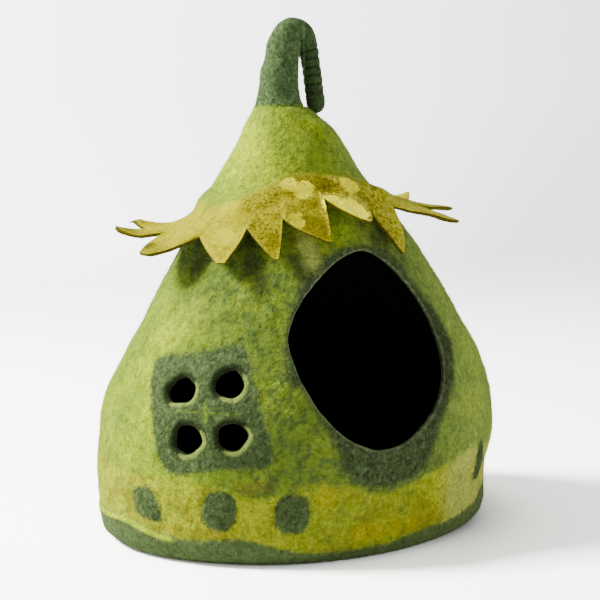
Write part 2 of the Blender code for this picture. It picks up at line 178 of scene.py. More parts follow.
TAIL_PALE_REACH = 0.003

Dot = namedtuple("Dot", "bearing height radius")
DOTS = (
    Dot(-66.1, 0.0540, 0.0163),
    Dot(-45.2, 0.0540, 0.0163),
    Dot(-26.0, 0.0520, 0.0168),
    Dot(49.0, 0.0650, 0.0146),
    Dot(86.0, 0.057, 0.0165),
    Dot(118.0, 0.054, 0.0170),
    Dot(144.0, 0.055, 0.0160),
    Dot(170.0, 0.054, 0.0168),
    Dot(196.0, 0.056, 0.0172),
    Dot(222.0, 0.053, 0.0165),
    Dot(248.0, 0.059, 0.0160),
)

# Unevenness of a dot's edge: waves round it, their shift from dot to dot, and their depth.
DOT_WAVES = ((3, 1.0, 0.035), (5, 2.3, 0.03), (9, 4.1, 0.02))
# Rings of a dot from its hidden inner face over its thin edge to its crown: share of the
# radius, and height over the wall in metres.
DOT_RINGS = (
    (0.50, -0.0022), (0.90, -0.0022), (1.00, -0.0012), (1.03, -0.0003), (1.00, 0.0004),
    (0.94, 0.0009), (0.85, 0.0013), (0.72, 0.0016), (0.55, 0.0018), (0.36, 0.0019), (0.18, 0.0019),
)
# Outlines of the wool that the dots are felted into, to the right and up from their middles in mm.
DOT_SHAPES = (
    ((-16, 9), (1, 16), (12, 12), (19, -10), (15, -17), (-12, -11)),
    ((-15, 1), (-10, 15), (-1, 19), (13, 18), (19, 7), (19, -5), (11, -18), (-6, -18), (-15, -9)),
    ((-14, 4), (-7, 17), (5, 18), (18, 14), (20, 0), (16, -15), (2, -19), (-11, -14)),
    ((-10, 4), (-5, 24), (5, 26), (12, 12), (14, -6), (5, -14), (-7, -11)),
)

# --- where each colour of wool and each painted light and shade is laid (bearing from the door in degrees, height in metres) ----

ZONE_REACH = 0.030  # how far in and out of a zone the distance to its border is kept
FRONT_Y = -0.02
RING_THINNER = 0.0030
DOOR_RIM = 0.0018
BASE_LIP = 0.0022
BASE_LIP_DROP = 0.0030
STAIN_TURN = 0.4
# widths of the painted highlight on the windows' sunny rims and of the painted shade round them
RIM_HIGHLIGHT_REACH = 0.0025
HOLE_SHADE = 0.0027
SUNNY_SIDE = (0.75, -0.66)  # to the right and up, seen on a window
GOLDEN_PATCHES = (
    Dot(-17.0, 0.066, 0.010), Dot(-5.0, 0.027, 0.010), Dot(1.0, 0.027, 0.009),
    Dot(7.0, 0.029, 0.009), Dot(13.0, 0.030, 0.008),
)
LEAF_SHADES = (
    Dot(-77.0, 0.286, 0.0075), Dot(-72.0, 0.267, 0.0088),
    Dot(-48.5, 0.288, 0.0070), Dot(-46.0, 0.271, 0.0096), Dot(-41.6, 0.251, 0.0088),
    Dot(-28.3, 0.290, 0.0045), Dot(-27.2, 0.276, 0.0045), Dot(-25.4, 0.262, 0.0042),
    Dot(16.0, 0.304, 0.0055), Dot(20.5, 0.291, 0.0050),
)
SHADE_STRETCH = (1.0, 1.0, 2.0)
LEAF_LIGHTS = (Dot(-21.5, 0.288, 0.0095), Dot(-19.5, 0.273, 0.0080))
LIGHT_STRETCH = (1.0, 1.0, 1.5)
Spot = namedtuple("Spot", "middle radius")
BROWN_TUFT = Spot((-0.1140, -0.1600, 0.0765), 0.007)
TUFT_STRETCH = (2.2, 2.2, 1.0)
LEMON_SPOTS = (
    Spot((-0.0855, -0.0430, 0.3203), 0.0125),
    Spot((-0.1025, -0.0656, 0.2933), 0.0130),
    Spot((-0.0370, -0.0700, 0.3410), 0.0100),
    Spot((-0.0250, -0.0765, 0.3345), 0.0105),
    Spot((-0.0461, -0.1045, 0.3092), 0.0105),
    Spot((-0.0020, -0.0940, 0.3260), 0.0125),
    Spot((0.0134, -0.1023, 0.3182), 0.0170),
    Spot((0.0247, -0.0714, 0.3379), 0.0115),
)
MOTTLED_TIP = Spot((-0.157, -0.010, 0.281), 0.009)
DOOR_RING_OUTLINE = (
    (0.009, 0.288), (-0.027, 0.276), (-0.048, 0.257), (-0.063, 0.236), (-0.078, 0.195),
    (-0.079, 0.168), (-0.065, 0.155), (-0.040, 0.107), (-0.030, 0.082), (0.004, 0.069),
    (0.053, 0.079), (0.073, 0.115), (0.097, 0.147), (0.108, 0.165), (0.114, 0.191),
    (0.105, 0.214), (0.084, 0.240), (0.066, 0.267), (0.044, 0.283),
)  # x and z on the front
PATCH_OUTLINE = (
    (-70.7, 0.182), (-54.8, 0.193), (-41.0, 0.200), (-34.5, 0.151),
    (-30.2, 0.099), (-43.8, 0.093), (-59.6, 0.087), (-65.4, 0.138),
)
PATCH_RADIUS = 0.185  # turns the patch's bearings into lengths
PATCH_CROSS = (-48.8, 0.1425)
CROSS_UPRIGHT = (0.0014, 0.006, 0.40)  # an arm's half width, straight half length and taper
CROSS_LEVEL = (0.0004, 0.020, 0.08)
YELLOW_TOP = (
    (-89, 0.084), (-62, 0.079), (-50, 0.080), (-42, 0.069), (-30, 0.067), (-22, 0.076),
    (-13, 0.078), (1, 0.064), (19, 0.074), (40, 0.087), (52, 0.084), (90, 0.080),
    (130, 0.086), (175, 0.078), (225, 0.085),
)
BASE_TOP = (
    (-88, 0.034), (-75, 0.036), (-61, 0.027), (-51, 0.025), (-40, 0.028), (-32, 0.023),
    (-26, 0.018), (-19, 0.014), (2, 0.014), (15, 0.020), (32, 0.023), (49, 0.027),
    (59, 0.040), (90, 0.040), (130, 0.031), (175, 0.037), (225, 0.030),
)

# --- wool colours, and colours of painted light and shade (linear) -----------------------------

LIME = (0.190, 0.290, 0.015)
LIME_YELLOW = (0.378, 0.488, 0.006)
MOSS = (0.080, 0.128, 0.027)
CONE_OLIVE = (0.222, 0.308, 0.082)
YELLOW = (0.345, 0.395, 0.011)
BAND_PALE = (0.500, 0.540, 0.120)
GOLD = (0.270, 0.275, 0.012)
SAGE = (0.050, 0.078, 0.026)
SAGE_LIGHT = (0.098, 0.146, 0.050)
# a dark sage wool colour, also used as painted shade round the windows and in the stem's creases
DEEP_SAGE_AND_SHADE = (0.022, 0.033, 0.011)
RING_SAGE = (0.036, 0.054, 0.017)
RING_LIGHT = (0.082, 0.118, 0.048)
BASE_GREEN = (0.080, 0.124, 0.036)
BASE_OLIVE = (0.175, 0.195, 0.055)
STEM_GREEN = (0.044, 0.080, 0.026)
STEM_LIGHT = (0.112, 0.182, 0.068)
# painted highlight on the windows' sunny rims
RIM_HIGHLIGHT_GREEN = (0.270, 0.380, 0.072)
# painted highlight on the door's rim
DOOR_LIP_HIGHLIGHT = (0.150, 0.190, 0.085)
SHADE_GREEN = (0.038, 0.052, 0.012)
BROWN = (0.120, 0.110, 0.020)
MUSTARD = (0.352, 0.318, 0.005)
MUSTARD_PALE = (0.400, 0.368, 0.0005)
MUSTARD_DARK = (0.210, 0.187, 0.001)
TAN = (0.620, 0.580, 0.040)
OLIVE_BROWN = (0.092, 0.080, 0.005)
# painted shade on the leaves' undersides
UNDERSIDE_SHADE = (0.066, 0.056, 0.004)
LEMON = (0.970, 0.910, 0.0003)
LEMON_LIT = (0.470, 0.450, 0.0002)
# near-black painted shade for the cave's inside and the depths of its holes
INSIDE = (0.012, 0.014, 0.010)
INSIDE_LIGHT = (0.022, 0.024, 0.018)
FELT_FINISH = {
    "Roughness": 0.92,
    "Specular IOR Level": 0.04,
    "Sheen Weight": 0.10,
    "Sheen Roughness": 0.35,
    "Sheen Tint": (0.85, 1.0, 0.55, 1.0),
}

# --- the felt's own relief, from (height, size, seed) rows, and how stray its fibres lie -------

WALL_HILLS = ((0.0010, 0.030, 11), (0.0006, 0.013, 12), (0.0004, 0.0065, 13))
LEAF_HILLS = ((0.0009, 0.022, 21), (0.0004, 0.008, 22))
STEM_HILLS = ((0.0007, 0.014, 31), (0.00035, 0.006, 32))
# A groove on the dark base's border and a roll under it: depth, how far below, half width.
BASE_GROOVES = ((0.0016, 0.0, 0.0022), (-0.0010, 0.005, 0.004))
CREASE_TOP = np.array([-0.0690, -0.0086, 0.3582])  # a short crease in the cone
CREASE_WAY = np.array([-0.0112, -0.0091, -0.0186])
CREASE_DEPTH = 0.0022
CREASE_HALF_WIDTH = 0.0030
FIBRE_LEAN = 1.25  # radians to each side
FIBRE_TURN = 6.28
FIBRE_SIZES = (0.45, 1.25)

# --- how finely the felt is made ---------------------------------------------------------------

WALL_STEP = 0.0029
WALL_FINE_STEP = 0.0017  # across the windows
WALL_BEARING_STEPS = (0.88, 0.45)
WINDOW_BEARINGS = (-69.0, -33.0)
WINDOW_HEIGHTS = (0.095, 0.190)
CONE_FROM = 0.300  # above this the wall has half the columns
SURVEY_BEARINGS = 1441  # how finely the wall is measured before its points are spaced out
SURVEY_HEIGHTS = 600
SOLE_SHARES = (0.2, 0.45, 0.7, 0.88, 1.0)
SEAT_SHARES = (0.85, 0.5)
FOOT_ROWS = 12
INNER_STEP = 0.0085
INNER_FINE_STEP = 0.0019
INNER_BEARING_STEPS = (3.0, 0.5)
INNER_TOP = 0.398
INNER_SOLE_SHARES = (0.3, 0.6, 0.85, 1.0)
INNER_FOOT_ROWS = 5
DOOR_POINTS = 160
WINDOW_POINTS = 72
CUT_SNAP = 0.0004  # points this near the start of a lip are moved onto it
DOOR_LIP = 0.0040  # how far from its edge a hole's wall starts to round over
WINDOW_LIP = 0.0015
WINDOW_WAIST = 0.0028  # how far a window's felt swells inwards half-way through the wall
LIP_ROWS = 8
LEAF_SIDE_STEPS = 12
LEAF_ROWS = 22
HUG_ROWS = 6
STEM_SIDES = 40
STEM_STEPS = 8
STEM_TIP_ROWS = 6
DOT_SIDES = 40
INSIDE_FROM = 0.7  # share of the wall's thickness from which it takes the inside wool, painted near-black as shade


# --- helpers -----------------------------------------------------------------------------------


def heading(bearing):
    angle = np.radians(bearing)
    return np.stack([np.sin(angle), -np.cos(angle), np.zeros_like(angle)], axis=-1)


def unit(vectors):
    return vectors / np.linalg.norm(vectors, axis=-1, keepdims=True)


def smooth_curve(places, values, at):
    """A smooth curve through values at rising places (cubic, with the slopes of its chords)."""
    places = np.asarray(places, float)
    values = np.asarray(values, float)
    low = np.maximum(np.arange(len(places)) - 1, 0)
    high = np.minimum(np.arange(len(places)) + 1, len(places) - 1)
    slopes = (values[high] - values[low]) / (places[high] - places[low])
    at = np.clip(at, places[0], places[-1])
    i = np.clip(np.searchsorted(places, at, side="right") - 1, 0, len(places) - 2)
    step = places[i + 1] - places[i]
    t = (at - places[i]) / step
    return (
        (2 * t**3 - 3 * t**2 + 1) * values[i]
        + (t**3 - 2 * t**2 + t) * step * slopes[i]
        + (3 * t**2 - 2 * t**3) * values[i + 1]
        + (t**3 - t**2) * step * slopes[i + 1]
    )


def round_curve(table, bearing):
    """A smooth value at a bearing, from (bearing, value) rows once round the body."""
    places = [b + turn for turn in (-360, 0, 360) for b, _ in table]
    return smooth_curve(places, [v for _, v in table] * 3, bearing)


def soft_step(low, high, value):
    t = np.clip((value - low) / (high - low), 0, 1)
    return t * t * (3 - 2 * t)


def lumps(points, size, seed, lattice_side=32):
    """Smooth random heights from -1 to 1 in space, with hills about a size across."""
    lattice = np.random.default_rng(seed).uniform(-1, 1, (lattice_side,) * 3)
    scaled = np.asarray(points) / size
    base = np.floor(scaled).astype(int)
    t = scaled - base
    t = t * t * (3 - 2 * t)
    total = 0
    for corner in itertools.product((0, 1), repeat=3):
        corner = np.array(corner)
        share = np.prod(np.where(corner == 1, t, 1 - t), axis=-1)
        i, j, k = np.moveaxis((base + corner) % lattice_side, -1, 0)
        total = total + share * lattice[i, j, k]
    return total


def hills(points, rows):
    """Lumps of several sizes together."""
    return sum(height * lumps(points, size, seed) for height, size, seed in rows)


def bearing_of(points):
    return np.degrees(np.arctan2(points[..., 0], -points[..., 1]))


# --- the body's outer surface ------------------------------------------------------------------


def body_section(height):
    rows = BODY_SECTIONS[::-1]
    heights = [row.height for row in rows]
    return [
        smooth_curve(heights, [getattr(row, name) for row in rows], height)
        for name in ("half_long", "half_short", "lean")
    ]


def wall_points(bearing, height, inset=0.0):
    """Points on the wall at bearings round each section's own middle."""
    bearing, height = np.broadcast_arrays(np.asarray(bearing, float), np.asarray(height, float))
    half_long, half_short, lean = body_section(height)
    turn = np.radians(bearing - LONG_AXIS_BEARING)
    radius = 1 / np.hypot(
        np.cos(turn) / (half_long - inset), np.sin(turn) / (half_short - inset)
    )
    uneven = 0
    for wave in WALL_WAVES:
        phase = wave.waves_round * np.radians(bearing) + wave.phase
        uneven = uneven + wave.depth * np.sin(phase + math.tau * wave.waves_per_metre * height)
    radius = radius + uneven * np.minimum(1.0, radius / WAVE_FULL_RADIUS)
    points = heading(LEAN_BEARING) * lean[..., None] + heading(bearing) * radius[..., None]
    points[..., 2] = height
    return points


def wall_normals(bearing, height):
    turns, rises = (-SLOPE_BEARING, SLOPE_BEARING), (-SLOPE_HEIGHT, SLOPE_HEIGHT)
    left, right = [wall_points(bearing + turn, height) for turn in turns]
    below, above = [wall_points(bearing, height + rise) for rise in rises]
    return unit(np.cross(right - left, above - below))


def spaced(places, lengths, count_step=1):
    """Places at even shares of the lengths between them, in a multiple of the count step."""
    along = np.concatenate([[0], np.cumsum(lengths)])
    count = count_step * round(along[-1] / count_step)
    return np.interp(np.linspace(0, along[-1], count + 1), along, places)


def wall_bearings(step, fine_step):
    """Bearings once round the body, closer together across the windows."""
    places = np.linspace(-180, 180, SURVEY_BEARINGS)
    middle = 0.5 * (places[1:] + places[:-1])
    fine = (middle > WINDOW_BEARINGS[0]) & (middle < WINDOW_BEARINGS[1])
    return spaced(places, np.diff(places) / np.where(fine, fine_step, step), 2)[:-1]


def wall_heights(low, high, step, fine_step):
    """Heights a step apart along the slope of the wall, closer together across the windows."""
    heights = np.linspace(low, high, SURVEY_HEIGHTS)
    radius = np.mean(body_section(heights)[:2], axis=0)
    middle = 0.5 * (heights[1:] + heights[:-1])
    fine = (middle > WINDOW_HEIGHTS[0]) & (middle < WINDOW_HEIGHTS[1])
    lengths = np.hypot(np.diff(radius), np.diff(heights))
    return spaced(heights, lengths / np.where(fine, fine_step, step))


def foot_ring(bearings, angle, height_share=1.0, inset=0.0):
    ring = wall_points(bearings, FOOT_RISE, inset + FOOT_INSET * (1 - math.cos(angle)))
    ring[:, 2] = FOOT_RISE - (FOOT_RISE * height_share) * math.sin(angle)
    return ring


def shrink(ring, share, middle):
    return middle + (ring - middle) * share


def outer_rings():
    """Rings from the middle of the underside, over the foot and up the wall to the stem's seat."""
    bearings = wall_bearings(*WALL_BEARING_STEPS)
    sole = foot_ring(bearings, 0.5 * math.pi)
    middle = sole.mean(axis=0)
    rings = [middle[None]]
    rings += [shrink(sole, share, middle) for share in SOLE_SHARES]
    turns = [0.5 * math.pi * (1 - k / FOOT_ROWS) for k in range(1, FOOT_ROWS)]
    rings += [foot_ring(bearings, angle) for angle in turns]
    lower = wall_heights(FOOT_RISE, CONE_FROM, WALL_STEP, WALL_FINE_STEP)
    rings += [wall_points(bearings, height) for height in lower]
    half = bearings[::2]
    upper = wall_heights(CONE_FROM, STEM_SEAT_HEIGHT, WALL_STEP, WALL_STEP)[1:]
    rings += [wall_points(half, height) for height in upper]
    top = rings[-1]
    rings += [shrink(top, share, top.mean(axis=0)) for share in SEAT_SHARES]
    rings.append(top.mean(axis=0)[None])
    return rings


def inner_rings():
    """Rings of the inner skin, in the same order."""
    bearings = wall_bearings(*INNER_BEARING_STEPS)
    height_share = 1 - WALL / FOOT_RISE
    sole = foot_ring(bearings, 0.5 * math.pi, height_share, WALL)
    middle = sole.mean(axis=0)
    rings = [middle[None]] + [shrink(sole, share, middle) for share in INNER_SOLE_SHARES]
    turns = [0.5 * math.pi * (1 - k / INNER_FOOT_ROWS) for k in range(1, INNER_FOOT_ROWS)]
    rings += [foot_ring(bearings, angle, height_share, WALL) for angle in turns]
    for height in wall_heights(FOOT_RISE, INNER_TOP, INNER_STEP, INNER_FINE_STEP):
        rings.append(wall_points(bearings, height) - wall_normals(bearings, height) * WALL)
    top = rings[-1]
    rings.append(shrink(top, 0.5, top.mean(axis=0)))
    rings.append(top.mean(axis=0)[None])
    return rings


def stitch_rings(rings):
    """Points and triangles of a skin through rings of equal, halved or single counts."""
    points = np.concatenate(rings)
    faces = []
    start = 0
    for low, high in zip(rings, rings[1:]):
        n, m = len(low), len(high)
        a = start + np.arange(n)
        b = start + n + np.arange(m)
        if n == 1:
            faces.append(np.stack([np.full(m, start), np.roll(b, -1), b], axis=1))
        elif m == 1:
            faces.append(np.stack([a, np.roll(a, -1), np.full(n, start + n)], axis=1))
        elif m == n:
            a2, b2 = np.roll(a, -1), np.roll(b, -1)
            faces.append(np.stack([a, a2, b2], axis=1))
            faces.append(np.stack([a, b2, b], axis=1))
        else:
            f0, f1, f2 = a[::2], a[1::2], np.roll(a[::2], -1)
            b2 = np.roll(b, -1)
            faces.append(np.stack([f0, f1, b], axis=1))
            faces.append(np.stack([f1, b2, b], axis=1))
            faces.append(np.stack([f1, f2, b2], axis=1))
        start += n
    return points, np.concatenate(faces)


# --- openings ----------------------------------------------------------------------------------

Opening = namedtuple("Opening", "middle across up out outline reach lip waist")


def door_opening():
    angle = math.tau * np.arange(DOOR_POINTS) / DOOR_POINTS
    across, up = np.sin(angle), np.cos(angle)
    power = np.where(up > 0, DOOR_UPPER_POWER, DOOR_LOWER_POWER)
    reach = (np.abs(across) ** power + np.abs(up) ** power) ** (-1 / power)
    x = DOOR_HALF_WIDTH * across * reach
    z = DOOR_HALF_HEIGHT * up * reach
    turn = math.radians(DOOR_TILT)
    x, z = x * math.cos(turn) + z * math.sin(turn), z * math.cos(turn) - x * math.sin(turn)
    outline = np.stack([DOOR_MIDDLE[0] + x, DOOR_MIDDLE[1] + z], axis=1)
    return Opening(DOOR_FRONT, RIGHT, UP, heading(0.0), outline, DOOR_REACH, DOOR_LIP, 0.0)


def window_opening(window):
    middle = wall_points(window.bearing, window.height)
    out = wall_normals(np.float64(window.bearing), np.float64(window.height))
    across = unit(np.cross(UP, out))
    up = np.cross(out, across)
    angle = math.tau * np.arange(WINDOW_POINTS) / WINDOW_POINTS
    reach = 1 + WINDOW_UNEVENNESS * np.sin(3 * angle + window.bearing)
    reach += WINDOW_FINE_UNEVENNESS * np.sin(5 * angle + 2 * window.bearing)
    x = (window.half_width - WINDOW_NARROWED) * reach * np.cos(angle)
    outline = np.stack([x, window.half_height * reach * np.sin(angle)], axis=1)
    return Opening(middle, across, up, out, outline, WINDOW_REACH, WINDOW_LIP, WINDOW_WAIST)


def all_openings():
    return [door_opening()] + [window_opening(window) for window in WINDOWS]


def outline_gap(places, outline):
    """Distance of each place from a closed outline, negative inside, and the nearest place on it."""
    gap = np.full(len(places), np.inf)
    nearest = np.zeros_like(places)
    inside = np.zeros(len(places), bool)
    for start, step in zip(outline, np.roll(outline, -1, axis=0) - outline):
        t = np.clip((places - start) @ step / (step @ step), 0, 1)
        foot = start + t[:, None] * step
        away = np.hypot(*(places - foot).T)
        nearer = away < gap
        gap[nearer] = away[nearer]
        nearest[nearer] = foot[nearer]
        spans = (start[1] > places[:, 1]) != (start[1] + step[1] > places[:, 1])
        if abs(step[1]) > 1e-12:
            at = start[0] + (places[:, 1] - start[1]) * step[0] / step[1]
            inside ^= spans & (places[:, 0] < at)
    return np.where(inside, -gap, gap), nearest


def places_on(opening, points):
    from_middle = points - opening.middle
    return np.stack([from_middle @ opening.across, from_middle @ opening.up], axis=1)


def opening_gap(opening, points, far=0.05):
    """Distance of points from an opening's edge, negative in the hole, far where it is far."""
    places = places_on(opening, points)
    gap = np.full(len(points), far)
    low, high = opening.outline.min(axis=0) - far, opening.outline.max(axis=0) + far
    near = np.all((places > low) & (places < high), axis=1)
    near &= (points - opening.middle) @ opening.out > -opening.reach
    if near.any():
        gap[near] = np.minimum(outline_gap(places[near], opening.outline)[0], far)
    return gap


def cut_openings(points, faces, openings):
    """Cuts a skin back to the start of every opening's lip, and gives the new edge loops."""
    gaps = np.array([opening_gap(opening, points) - opening.lip for opening in openings])
    which = gaps.argmin(axis=0)
    gap = gaps.min(axis=0)
    close = np.abs(gap) < CUT_SNAP
    for number, opening in enumerate(openings):
        moved = np.flatnonzero(close & (which == number))
        places = places_on(opening, points[moved])
        signed, nearest = outline_gap(places, opening.outline)
        away = unit(places - nearest) * np.sign(signed)[:, None]
        shift = away * (opening.lip - signed)[:, None]
        points[moved] += shift[:, :1] * opening.across + shift[:, 1:] * opening.up
    gap[close] = 0
    kept = gap >= 0
    made = {}
    extra = []

    def edge_point(a, b):
        """The point where the edge from kept a to dropped b meets the lip."""
        if gap[a] == 0:
            return a
        if (a, b) not in made:
            share = gap[a] / (gap[a] - gap[b])
            made[a, b] = len(points) + len(extra)
            extra.append(points[a] + (points[b] - points[a]) * share)
        return made[a, b]

    whole = kept[faces]
    count = whole.sum(axis=1)
    result = [faces[count == 3]]
    clipped = []
    for face in faces[(count == 1) | (count == 2)]:
        ring = []
        for k in range(3):
            a, b = int(face[k]), int(face[(k + 1) % 3])
            if kept[a]:
                ring.append(a)
            if kept[a] and not kept[b]:
                ring.append(edge_point(a, b))
            if kept[b] and not kept[a]:
                ring.append(edge_point(b, a))
        ring = [p for k, p in enumerate(ring) if p != ring[k - 1]]
        clipped += [(ring[0], ring[k], ring[k + 1]) for k in range(1, len(ring) - 1)]
    result.append(np.array([f for f in clipped if len(set(f)) == 3], int).reshape(-1, 3))
    faces = np.concatenate(result)
    points = np.concatenate([points, np.array(extra).reshape(-1, 3)])
    used, inverse = np.unique(faces, return_inverse=True)
    points, faces = points[used], inverse.reshape(-1, 3)
    return points, faces, edge_loops(points, faces, openings)


def edge_loops(points, faces, openings):
    """The open edges as loops of point numbers, one for each opening."""
    edges = np.concatenate([faces[:, [0, 1]], faces[:, [1, 2]], faces[:, [2, 0]]])
    key = edges[:, 0] * len(points) + edges[:, 1]
    back = edges[:, 1] * len(points) + edges[:, 0]
    open_edges = edges[~np.isin(key, back)]
    after = {int(a): int(b) for a, b in open_edges}
    loops = []
    while after:
        first, here = after.popitem()
        loop = [first]
        while here != first:
            loop.append(here)
            here = after.pop(here)
        loops.append(loop)
    middles = [outline_middle(opening) for opening in openings]
    found = [None] * len(openings)
    for loop in loops:
        middle = points[loop].mean(axis=0)
        apart = [np.linalg.norm(middle - other) for other in middles]
        found[int(np.argmin(apart))] = loop
    return found


def outline_middle(opening):
    u, v = opening.outline.mean(axis=0)
    return opening.middle + opening.across * u + opening.up * v


def turn_on(opening, points):
    places = places_on(opening, points) - opening.outline.mean(axis=0)
    return np.arctan2(places[:, 1], places[:, 0])


def lip_rings(opening, edge):
    """Rings from the outer skin's edge, round the felt lip, to the inner skin."""
    places = places_on(opening, edge)
    signed, nearest = outline_gap(places, opening.outline)
    away = unit(places - nearest) * np.sign(signed)[:, None]
    normals = nearest_wall_normals(edge)
    facing = (normals @ opening.out)[:, None]
    rings = []
    for k in range(1, LIP_ROWS + 1):
        angle = math.pi * k / LIP_ROWS
        gap = opening.lip - (opening.lip + opening.waist) * math.sin(angle)
        depth = 0.5 * (1 - math.cos(angle)) * WALL
        shift = nearest + away * gap - places
        move = shift[:, :1] * opening.across + shift[:, 1:] * opening.up
        move = move - opening.out * ((move * normals).sum(axis=1, keepdims=True) / facing)
        rings.append(edge + move - opening.out * (depth / facing))
    return rings


def nearest_wall_normals(points):
    """Wall normals at points that lie on the wall."""
    lean = body_section(points[:, 2])[2]
    bearing = bearing_of(points - heading(LEAN_BEARING) * lean[:, None])
    return wall_normals(bearing, points[:, 2])


def zip_loops(low, low_turn, high, high_turn):
    """Triangles between two loops of point numbers that run the same way round."""
    low_at = np.unwrap(low_turn)
    first = int(np.argmin(np.abs(np.angle(np.exp(1j * (high_turn - low_turn[0]))))))
    high = high[first:] + high[:first]
    high_at = np.unwrap(np.roll(high_turn, -first))
    high_at += math.tau * round((low_at[0] - high_at[0]) / math.tau)
    way = 1 if low_at[-1] > low_at[0] else -1
    low_at = np.append(low_at, low_at[0] + way * math.tau) * way
    high_at = np.append(high_at, high_at[0] + way * math.tau) * way
    faces = []
    i = j = 0
    while i < len(low) or j < len(high):
        step_low = j == len(high) or (i < len(low) and low_at[i + 1] <= high_at[j + 1])
        a, b = low[i % len(low)], high[j % len(high)]
        if step_low:
            faces.append((a, low[(i + 1) % len(low)], b))
            i += 1
        else:
            faces.append((a, high[(j + 1) % len(high)], b))
            j += 1
    return faces


# --- making objects ----------------------------------------------------------------------------


def linked_object(name, data):
    obj = bpy.data.objects.new(name, data)
    bpy.context.scene.collection.objects.link(obj)
    return obj


def mesh_object(name, points, faces, material):
    mesh = bpy.data.meshes.new(name)
    mesh.from_pydata(np.asarray(points).tolist(), [], [tuple(map(int, f)) for f in faces])
    mesh.shade_smooth()
    mesh.materials.append(material)
    return linked_object(name, mesh)


def felt_object(name, points, faces, material):
    """A closed piece of felt, its faces turned outwards."""
    obj = mesh_object(name, points, faces, material)
    work = bmesh.new()
    work.from_mesh(obj.data)
    bmesh.ops.recalc_face_normals(work, faces=work.faces)
    work.to_mesh(obj.data)
    work.free()
    return obj


def normals_of(obj):
    values = np.empty(len(obj.data.vertices) * 3, np.float32)
    obj.data.vertices.foreach_get("normal", values)
    return values.reshape(-1, 3).astype(float)


def move_points(obj, points):
    obj.data.vertices.foreach_set("co", np.asarray(points, np.float32).ravel())
    obj.data.update()


def paint(obj, name, values):
    """Keeps one value for each point of the mesh, for its material."""
    attribute = obj.data.attributes.new(name, "FLOAT", "POINT")
    attribute.data.foreach_set("value", np.asarray(values, np.float32))


def paint_zone(obj, name, inside):
    """Keeps how far each point lies inside a zone of wool, painted light or painted shade, in mm, up
    to the zones' reach.
    """
    paint(obj, name, MM_PER_M * np.clip(inside, -ZONE_REACH, ZONE_REACH))


def inside_spots(points, spots, stretch=(1.0, 1.0, 1.0)):
    """How far points lie inside the nearest of some round or stretched spots."""
    inside = np.full(len(points), -ZONE_REACH)
    for middle, radius in spots:
        away = (points - middle) / stretch
        inside = np.maximum(inside, radius - np.linalg.norm(away, axis=1))
    return inside


# --- building node trees -----------------------------------------------------------------------


class Nodes:
    """Adds nodes to one tree, with sockets or plain values as their inputs."""

    def __init__(self, tree):
        self.tree = tree

    def add(self, kind, inputs=None, **settings):
        made = self.tree.nodes.new(kind)
        for key, value in settings.items():
            setattr(made, key, value)
        for key, value in (inputs or {}).items():
            if isinstance(value, bpy.types.NodeSocket):
                self.tree.links.new(value, made.inputs[key])
            else:
                made.inputs[key].default_value = value
        return made

    def maths(self, operation, a, b=0.0, c=0.0):
        return self.add("ShaderNodeMath", {0: a, 1: b, 2: c}, operation=operation).outputs[0]

    def times(self, a, b):
        return self.maths("MULTIPLY", a, b)

    def times_plus(self, a, b, c):
        return self.maths("MULTIPLY_ADD", a, b, c)

    def split(self, place):
        """The x, y and z of a place."""
        return self.add("ShaderNodeSeparateXYZ", {0: place}).outputs

    def grey(self, value):
        return self.add("ShaderNodeCombineColor", {0: value, 1: value, 2: value}).outputs[0]

    def map_range(self, value, low, high, to_low=0.0, to_high=1.0, way="LINEAR"):
        inputs = {
            "Value": value, "From Min": low, "From Max": high, "To Min": to_low, "To Max": to_high,
        }
        return self.add("ShaderNodeMapRange", inputs, interpolation_type=way).outputs["Result"]

    def ramp(self, value, low, high):
        """0 below low to 1 above high, softly; or the other way round where low is above high."""
        return self.map_range(value, low, high, way="SMOOTHSTEP")

    def between(self, value, rise, fall):
        """1 between a soft rise and a soft fall."""
        return self.times(self.ramp(value, *rise), self.ramp(value, *fall))

    def blend(self, share, a, b, kind="MIX"):
        """A colour between a and b, each a socket or three values."""
        a, b = [(*colour, 1.0) if isinstance(colour, tuple) else colour for colour in (a, b)]
        settings = {"data_type": "RGBA", "blend_type": kind, "clamp_factor": True}
        return self.add("ShaderNodeMix", {0: share, 6: a, 7: b}, **settings).outputs[2]

    def laid(self, colour, *layers):
        """A colour with others laid over it, from (share, strength, colour) rows."""
        for share, strength, other in layers:
            colour = self.blend(self.times(share, strength), colour, other)
        return colour


